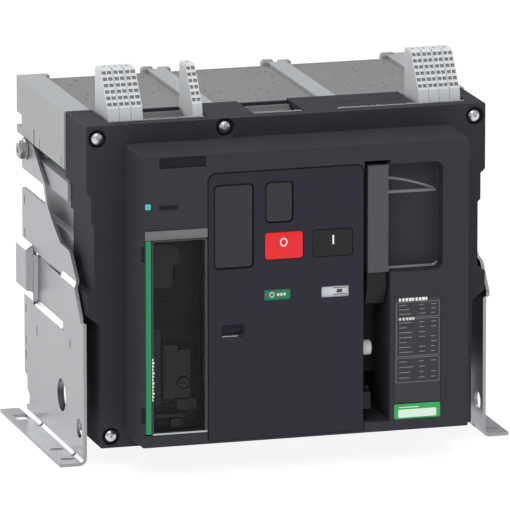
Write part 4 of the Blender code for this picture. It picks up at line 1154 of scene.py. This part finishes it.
def clear(name, tint, cover):
    """Clear moulding: a thin even tint with faint haze in it, and a polished face."""
    material, shader, tree, place = finish_of(name, IOR=1.49, Specular_IOR_Level=0.35)
    haze = noise(place, 18.0, 3.0)
    feed(shader, Base_Color=toned(haze, tint, 0.15))
    feed(shader, Roughness=0.08 + 0.1 * haze)
    feed(shader, Alpha=cover - 0.03 + 0.06 * haze)
    return material


DOOR = rounded((-0.1427, 0.04), (-0.0912, 0.2172), 0.0022, 4)
DOOR_INSIDE = rounded((-0.141, 0.0412), (-0.0936, 0.2158), 0.0014, 4)


def door_pane():
    return worked("door_pane", (prism, DOOR_INSIDE, "Y", PANEL_FRONT + 0.0001, PANEL_FRONT + 0.0014), [],
                  0.0003, 1)


def door_rim():
    return worked("door_rim", (prism, DOOR, "Y", PANEL_FRONT, -0.143),
                  [("cut", prism, DOOR_INSIDE, "Y", PANEL_FRONT - 0.01, -0.14)], 0.0004, 2)


def strip():
    section = eased([(-0.143, -0.1485), (-0.143, -0.1425), (-0.1488, -0.1425), (-0.1488, -0.147),
                     (-0.1478, -0.1485)],
                    0.0008, 3)
    return worked("green_hinge_strip", (prism, section, "Z", 0.0408, 0.2172), [], 0.00025, 2)


def knuckles():
    """Two dark knuckles that turn in the notches of the panel."""
    first, *others = [(low, low + 0.0124) for low in (0.052, 0.1996)]
    changes = [("join", lathe, (-0.1484, -0.146), "Z", ((0.0018, low), (0.0018, high)), 20) for low,
               high in others]
    return worked("hinge_knuckles",
                  (lathe, (-0.1484, -0.146), "Z", ((0.0018, first[0]), (0.0018, first[1])), 20),
                  changes, 0.0003, 1)


def pull():
    section = eased([(PANEL_FRONT, 0.2178), (PANEL_FRONT, 0.2258), (PANEL_FRONT + 0.0008, 0.2262),
                     (-0.144, 0.2262),
                     (-0.144, 0.2175), (PANEL_FRONT + 0.0008, 0.2175)], 0.0004, 2)
    groove = rounded((-0.1475, 0.219), (-0.093, 0.2198), 0.0003, 2)
    return worked("pull_bar_grip", (prism, section, "X", -0.1488, -0.0912),
                  [("cut", prism, groove, "Y", FRONT_CUT, PANEL_FRONT + 0.0003)], 0.0004, 2)


pane_clear = clear("pane_clear", (0.02, 0.021, 0.023), 0.11)
rim_clear = clear("rim_clear", (0.055, 0.057, 0.06), 0.8)
strip_green = moulded("strip_green", (0.013, 0.262, 0.095), 0.3, grain=0.02, mottling=0.02, specular=0.3)
pull_grey = moulded("pull_bar_grey", (0.158, 0.157, 0.164), 0.42, grain=0.07, specular=0.3)
# Painted highlight: a pale grey standing in for the light caught in the bottom edge of the clear door.
door_edge_highlight = moulded("painted_edge_highlight", (0.5, 0.52, 0.53), 0.3, grain=0.03)
fit(door_pane(), pane_clear, "trip_cover", "smoked_cover", "trip_unit_cover")
fit(door_rim(), rim_clear, "trip_cover", "smoked_cover")
fit(strip(), strip_green, "trip_cover", "green_strip", "hinge_strip")
fit(knuckles(), unit_black, "trip_cover", "green_strip")
fit(pull(), pull_grey, "trip_cover", "pull_bar_moulding", "pull_bar")
# Painted highlight: this pale sill stands in for the bright line of light along the door's bottom edge.
sill = (plate, (-0.142, 0.0398), (-0.0916, 0.0412), 0.0005, 3, PANEL_FRONT - 0.0001, -0.144)
fit(worked("door_sill", sill, [], 0.0002, 2), door_edge_highlight, "trip_cover", "smoked_cover")


def block_print(name, front, back, first, *others):
    """Plain printed blocks joined to the first one. Each is given by two corners."""
    spine, *changes = [(block, (x0, front, z0), (x1, back, z1)) for (x0, z0), (x1, z1) in (first, *others)]
    return worked(name, spine, [("join", *change) for change in changes], 0.0, 1)


def door_print():
    """A column of small plain marks down the edge of the door, beside the green strip."""
    left = -0.1424
    marks = []
    for i in range(13):
        low = 0.0712 + 0.0031 * i
        marks.append(((left, low), (left + (0.0011 + 0.0004 * (i % 3)), low + 0.0017)))
    front = PANEL_FRONT - 0.0001
    return block_print("door_print", front, front + 0.0002, ((left, 0.0712), (-0.142, 0.1098)), *marks)


fit(door_print(), white_ink, "trip_cover", "smoked_cover")


# ------------------------------------------------------------------ labels
# A black rating film with fine printed frames and rows, and a green label with a white field
# under it. Both are stuck into shallow recesses of the panel.

film_black = moulded("film_black", (0.051, 0.053, 0.06), 0.5, grain=0.02, specular=0.06)
film_dark = moulded("film_dark", (0.018, 0.0188, 0.022), 0.6, grain=0.02, specular=0.04)
print_grey = printed("grey_ink", (0.24, 0.24, 0.25))
label_green = printed("label_green", (0.028, 0.37, 0.085), 0.4, 0.04)
label_white = printed("label_white", (0.74, 0.9, 0.77), 0.4, 0.03)
FRAMES = ((0.1318, 0.1462, 3), (0.0962, 0.1306, 7), (0.0722, 0.095, 4))
LINE = 0.00035
PRINT_FRONT, PRINT_BACK = PANEL_FRONT + 0.00012, PANEL_FRONT + 0.0003


def film(name, window, radius):
    return worked(name, (plate, *window, radius, 4, PANEL_FRONT + 0.0002, PANEL_FRONT + 0.0008), [], 0.0001,
                  1)


def rating_print():
    """Three printed frames with round corners."""
    changes = []
    for low, high, rows in FRAMES:
        outer = rounded((0.0842, low), (0.1248, high), 0.0008, 3)
        inner = rounded((0.0842 + LINE, low + LINE), (0.1248 - LINE, high - LINE), 0.0006, 3)
        changes.append(("join", prism, outer, "Y", PRINT_FRONT, PRINT_BACK))
        changes.append(("cut", prism, inner, "Y", FRONT_CUT, PRINT_BACK + 0.01))
    dot = (block, (0.0868, PRINT_FRONT, 0.1452), (0.0874, PRINT_BACK, 0.1458))
    return worked("rating_frames", dot, changes, 0.0, 1)


def rating_heads():
    """Two heavy headings of plain blocks: one over the frames and one in the second frame."""
    marks = []
    for start, low, high, count in ((0.0868, 0.147, 0.15, 9), (0.0872, 0.1296, 0.1318, 5)):
        for i in range(count):
            left = start + 0.0031 * i
            marks.append(((left, low), (left + 0.0017 + 0.0003 * (i % 4), high)))
    return block_print("rating_heads", PRINT_FRONT, PRINT_BACK, ((0.0868, 0.1484), (0.113, 0.1487)), *marks)


def rating_rows(bm):
    """Rows of short strokes in each frame, in three columns, with gaps in the two on the right."""
    for low, high, rows in FRAMES:
        for row in range(rows):
            z = high - (row + 0.8) * (high - low) / (rows + 0.6)
            for start, longest in ((0.0872, 0.013), (0.106, 0.006), (0.117, 0.005)):
                share = 0.45 + 0.55 * abs(math.sin(37.0 * z * 1000 + start * 5000))
                if share < 0.62 and start > 0.1:
                    continue
                block(bm, (start, PRINT_FRONT, z), (start + longest * share, PRINT_BACK, z + 0.0006))


fit(film("rating_film", RATING_WINDOW, 0.0018), film_black, "frame", "plate_print", "rating_plate")
fit(rating_print(), print_grey, "frame", "plate_print")
fit(raw("rating_strokes", (rating_rows,)), print_grey, "frame", "plate_print")
fit(rating_heads(), white_ink, "frame", "plate_print")
fit(film("green_film", LABEL_WINDOW, 0.0018), label_green, "frame", "green_label", "green_label")
white_field = (plate, (0.0866, 0.04), (0.1222, 0.0474), 0.0008, 4, PANEL_FRONT + 0.0001,
               PANEL_FRONT + 0.0004)
fit(worked("white_field", white_field, [], 0.00005, 1), label_white, "frame", "green_label")
fit(bar_print("label_rule", (0.0872, 0.0489), (0.106, 0.0497), PANEL_FRONT + 0.0002), label_white, "frame",
    "green_label")
name_field = (plate, (-0.1349, 0.2826), (-0.093, 0.2914), 0.0008, 3, PANEL_FRONT + 0.0008,
              PANEL_FRONT + 0.0013)
fit(worked("blank_name_film", name_field, [], 0.0001, 1), film_dark, "frame", "black_moulding")
fit(bar_print("lamp_label", (-0.136, 0.2448), (-0.1185, 0.2488), PANEL_FRONT), film_dark, "frame",
    "black_moulding")


# ------------------------------------------------------------------ wiring gallery
# Spring clamp terminal blocks plug in along the top, in groups of three, one and four. Blanking
# pieces close two places, and a pale comb along the front lip holds the wire markers.

terminal_white = moulded("terminal_white", (0.66, 0.67, 0.68), 0.5, grain=0.05, mottling=0.03, specular=0.2)
# Painted shade: a darker grey for the insides of the wire entries, where the clamps cast shade.
throat_painted_shade = moulded("throat_painted_shade", (0.2, 0.2, 0.205), 0.6)
comb_grey = moulded("comb_grey", (0.5, 0.5, 0.51), 0.5)
pocket_grey = moulded("pocket_grey", (0.115, 0.115, 0.12), 0.5)
TERMINAL_GROUPS = ((-0.1592, 0.0109, 3), (-0.0806, 0.0095, 1), (0.131, 0.0099, 4))
SLOPE_LOW, SLOPE_HIGH = (-0.0614, 0.3203), (-0.0385, 0.3505)
SLOPE = math.atan2(SLOPE_HIGH[1] - SLOPE_LOW[1], SLOPE_HIGH[0] - SLOPE_LOW[0])


def entry_tree(material):
    """Wire entries: tapered pockets in rows and columns, cut into the sloping face of a block."""
    kinds = {"Columns": "Int", "Rows": "Int", "Column Pitch": "Float", "Row Pitch": "Float",
             "Centre": "Vector",
             "Slope": "Float", "Entry": "Vector"}
    tree, given = geometry_tree("wire_entries", kinds)
    wide = (given["Columns"] - 1.0) * given["Column Pitch"]
    tall = (given["Rows"] - 1.0) * given["Row Pitch"]
    spots = wide.add("GeometryNodeMeshGrid", None,
                     {"Size X": wide, "Size Y": tall, "Vertices X": given["Columns"],
                                                    "Vertices Y": given["Rows"]})
    punch = spots.add("GeometryNodeMeshCube", None, {"Size": given["Entry"]})
    punches = punch.add("GeometryNodeInstanceOnPoints", None, {"Points": spots, "Instance": punch})
    punches = punches.add("GeometryNodeRealizeInstances", None, {"Geometry": punches})
    turn = punches.add("ShaderNodeCombineXYZ", None, {"X": given["Slope"]})
    put = turn.add("GeometryNodeTransform", None,
                   {"Geometry": punches, "Translation": given["Centre"], "Rotation": turn})
    holed = put.add("GeometryNodeMeshBoolean", {"operation": "DIFFERENCE"},
                    {"Mesh 1": given["Geometry"], "Mesh 2": put})
    close_tree(tree, holed, material)
    return tree


def terminal(name, start, width, tree):
    floor = GALLERY_FLOOR + GAP
    side_view = [(-0.064, floor), (-0.064, 0.309), SLOPE_LOW, SLOPE_HIGH, (-0.0365, 0.3518),
                 (-0.0195, 0.3518),
                 (-0.0195, floor)]
    end = start + width - GAP
    changes = [("cut", block, (end - 0.0016, -0.07, 0.29), (end + 0.001, -0.0622, 0.303)),
               ("cut", block, (start - 0.001, -0.042, 0.35), (start + 0.0006, -0.01, 0.36)),
               ("cut", prism, rounded((0.5 * (start + end) - 0.0016, -0.031),
                                      (0.5 * (start + end) + 0.0016, -0.026), 0.0006, 2),
                "Z", 0.349, 0.36)]
    obj = worked(name, (prism, eased(side_view, 0.0012, 3), "X", start, end), changes, 0.0, 1)
    middle = (0.5 * (start + end), 0.48 * SLOPE_LOW[0] + 0.52 * SLOPE_HIGH[0],
              0.48 * SLOPE_LOW[1] + 0.52 * SLOPE_HIGH[1])
    through_tree(obj, tree, {"Columns": 2, "Rows": 6, "Column Pitch": 0.46 * width, "Row Pitch": 0.00632,
                             "Centre": middle,
                             "Slope": SLOPE, "Entry": (0.36 * width, 0.0034, 0.0022)})
    ease_edges(obj, 0.0002, 1)
    return obj


def paint_throat_shade(obj, low, high):
    """Painted shade: the inside of each wire entry gets a darker grey material standing in for the shade of
    its clamp.
    """
    obj.data.materials.append(throat_painted_shade)
    for face in obj.data.polygons:
        xs = [obj.data.vertices[i].co.x for i in face.vertices]
        within = min(xs) > low + 0.0006 and max(xs) < high - 0.0006
        across = face.center.y - SLOPE_LOW[0]
        up = face.center.z - SLOPE_LOW[1]
        depth = across * math.sin(SLOPE) - up * math.cos(SLOPE)
        inside = abs(face.normal.x) > 0.9 or face.center.z < 0.348
        if 0.0009 < depth < 0.0048 and inside and 0.3212 < face.center.z and within:
            face.material_index = 1


entries = entry_tree(terminal_white)
blocks = [(start + width * i, width) for start, width, count in TERMINAL_GROUPS for i in range(count)]
for number, (left, width) in enumerate(blocks, 1):
    piece = terminal(f"terminal_{number}", left, width, entries)
    fit(piece, terminal_white, "frame", "terminal_moulding", f"terminal_block_{number}")
    paint_throat_shade(piece, left, left + width - GAP)


def gallery_blank(name, start, end):
    low = (start, GALLERY_FRONT + 0.002, GALLERY_FLOOR + GAP)
    changes = [("cut", block, (start + 0.004, -0.05, COVER_TOP - 0.0004),
                (end - 0.004, -0.0485, COVER_TOP + 0.001))]
    return worked(name, (block, low, (end, SEAM - GAP, COVER_TOP)), changes, 0.0007, 2)


fit(gallery_blank("gallery_blank_a", 0.0505, 0.0888), cover_black, "frame", "black_moulding",
    "gallery_blank_left")
fit(gallery_blank("gallery_blank_b", 0.0892, 0.125), cover_black, "frame", "black_moulding",
    "gallery_blank_right")


def comb_tree(material):
    """Teeth in a row along X."""
    kinds = {"Start": "Vector", "Count": "Int", "Pitch": "Float", "Tooth": "Vector"}
    tree, given = geometry_tree("comb", kinds)
    step = given["Pitch"].add("ShaderNodeCombineXYZ", None, {"X": given["Pitch"]})
    line = step.add("GeometryNodeMeshLine", None,
                    {"Count": given["Count"], "Start Location": given["Start"], "Offset": step})
    tooth = line.add("GeometryNodeMeshCube", None, {"Size": given["Tooth"]})
    high = tooth.add("FunctionNodeRandomValue", {"data_type": "FLOAT"}, {2: 0.55, 3: 1.0, "Seed": 5},
                     output=1)
    size = high.add("ShaderNodeCombineXYZ", None, {"X": 1.0, "Y": 1.0, "Z": high})
    close_tree(tree, size.add("GeometryNodeInstanceOnPoints", None,
                              {"Points": line, "Instance": tooth, "Scale": size}), material)
    return tree


comb = comb_tree(comb_grey)
for number, (start, end) in enumerate(((-0.161, -0.0715), (-0.026, 0.019), (0.051, 0.1712))):
    pitch = 0.0026
    teeth = grown(f"marker_comb_{number}", comb,
                  {"Start": (start + 0.0012, GALLERY_FRONT + 0.0006, COVER_TOP - 0.0008),
                                                  "Count": int((end - start) / pitch), "Pitch": pitch,
                                                  "Tooth": (0.0022, 0.001, 0.004)})
    fit(teeth, comb_grey, "frame", "terminal_moulding")
for number, (start, end) in enumerate(((-0.1245, -0.082), (-0.0265, 0.0195))):
    back_wall = (block, (start - GAP, -0.0224, 0.2994), (end + GAP, -0.0194, 0.3095))
    fit(worked(f"gallery_wall_{number}", back_wall, [], 0.0004, 2), cover_black, "frame", "black_moulding")
    floor_piece = (prism, eased([(-0.07, 0.2994), (-0.026, 0.2994), (-0.026, 0.3075), (-0.03, 0.3075),
                                 (-0.032, 0.304), (-0.07, 0.302)], 0.0008, 2), "X", start, end)
    fit(worked(f"gallery_socket_{number}", floor_piece, [], 0.0004, 2), pocket_grey, "frame",
        "black_moulding")


# ------------------------------------------------------------------ studio
# A pale floor, a broad soft light overhead, a weaker one in front, and a camera with a long lens.

floor_mesh = bpy.data.meshes.new("floor")
reach = 30.0
floor_mesh.from_pydata([(-reach, -reach, 0), (reach, -reach, 0), (reach, reach, 0), (-reach, reach, 0)], [],
                       [(0, 1, 2, 3)])
floor = added("floor", floor_mesh)
floor.location.z = -0.0002
paper, paper_shader, _, paper_place = finish_of("studio_paper", Roughness=0.9, Emission_Strength=0.89,
                                                Specular_IOR_Level=0.0)
fibre = noise(paper_place, 3.0, 2.0)
feed(paper_shader, Base_Color=fibre.blend((0.24, 0.24, 0.24), (0.26, 0.26, 0.26)))
feed(paper_shader, Emission_Color=fibre.blend((0.98, 0.98, 0.98), (1.0, 1.0, 1.0)))
floor_mesh.materials.append(paper)

scene = bpy.context.scene
scene.view_settings.view_transform = "Standard"
scene.world = bpy.data.worlds.new("studio")
scene.world.use_nodes = True
background = scene.world.node_tree.nodes["Background"]
background.inputs["Color"].default_value = (0.97, 0.985, 1.0, 1.0)
background.inputs["Strength"].default_value = 0.58

AIM = Vector((-0.0041, 0.0, 0.163))


def softbox(name, place, size, power):
    lamp = bpy.data.lights.new(name, "AREA")
    lamp.shape = "RECTANGLE"
    lamp.size, lamp.size_y = size
    lamp.energy = power
    obj = bpy.data.objects.new(name, lamp)
    obj.location = place
    obj.rotation_euler = (AIM - Vector(place)).to_track_quat("-Z", "Y").to_euler()
    scene.collection.objects.link(obj)


softbox("overhead", (0.1, -0.3, 2.6), (2.2, 1.4), 26.0)
softbox("front_high", (-0.6, -2.4, 2.2), (1.6, 1.0), 14.0)
softbox("backdrop", (-1.1, 3.6, 1.0), (3.6, 1.4), 66.0)

AZIMUTH, ELEVATION, DISTANCE = math.radians(-16.262), math.radians(12.999), 7.617
back = Vector((math.sin(AZIMUTH) * math.cos(ELEVATION), -math.cos(AZIMUTH) * math.cos(ELEVATION),
               math.sin(ELEVATION)))
lens = bpy.data.cameras.new("camera")
lens.sensor_width = 36.0
lens.lens = 592.4
lens.clip_end = 100.0
camera = bpy.data.objects.new("camera", lens)
camera.location = AIM + back * DISTANCE
camera.rotation_euler = (-back).to_track_quat("-Z", "Y").to_euler()
scene.collection.objects.link(camera)
scene.camera = camera
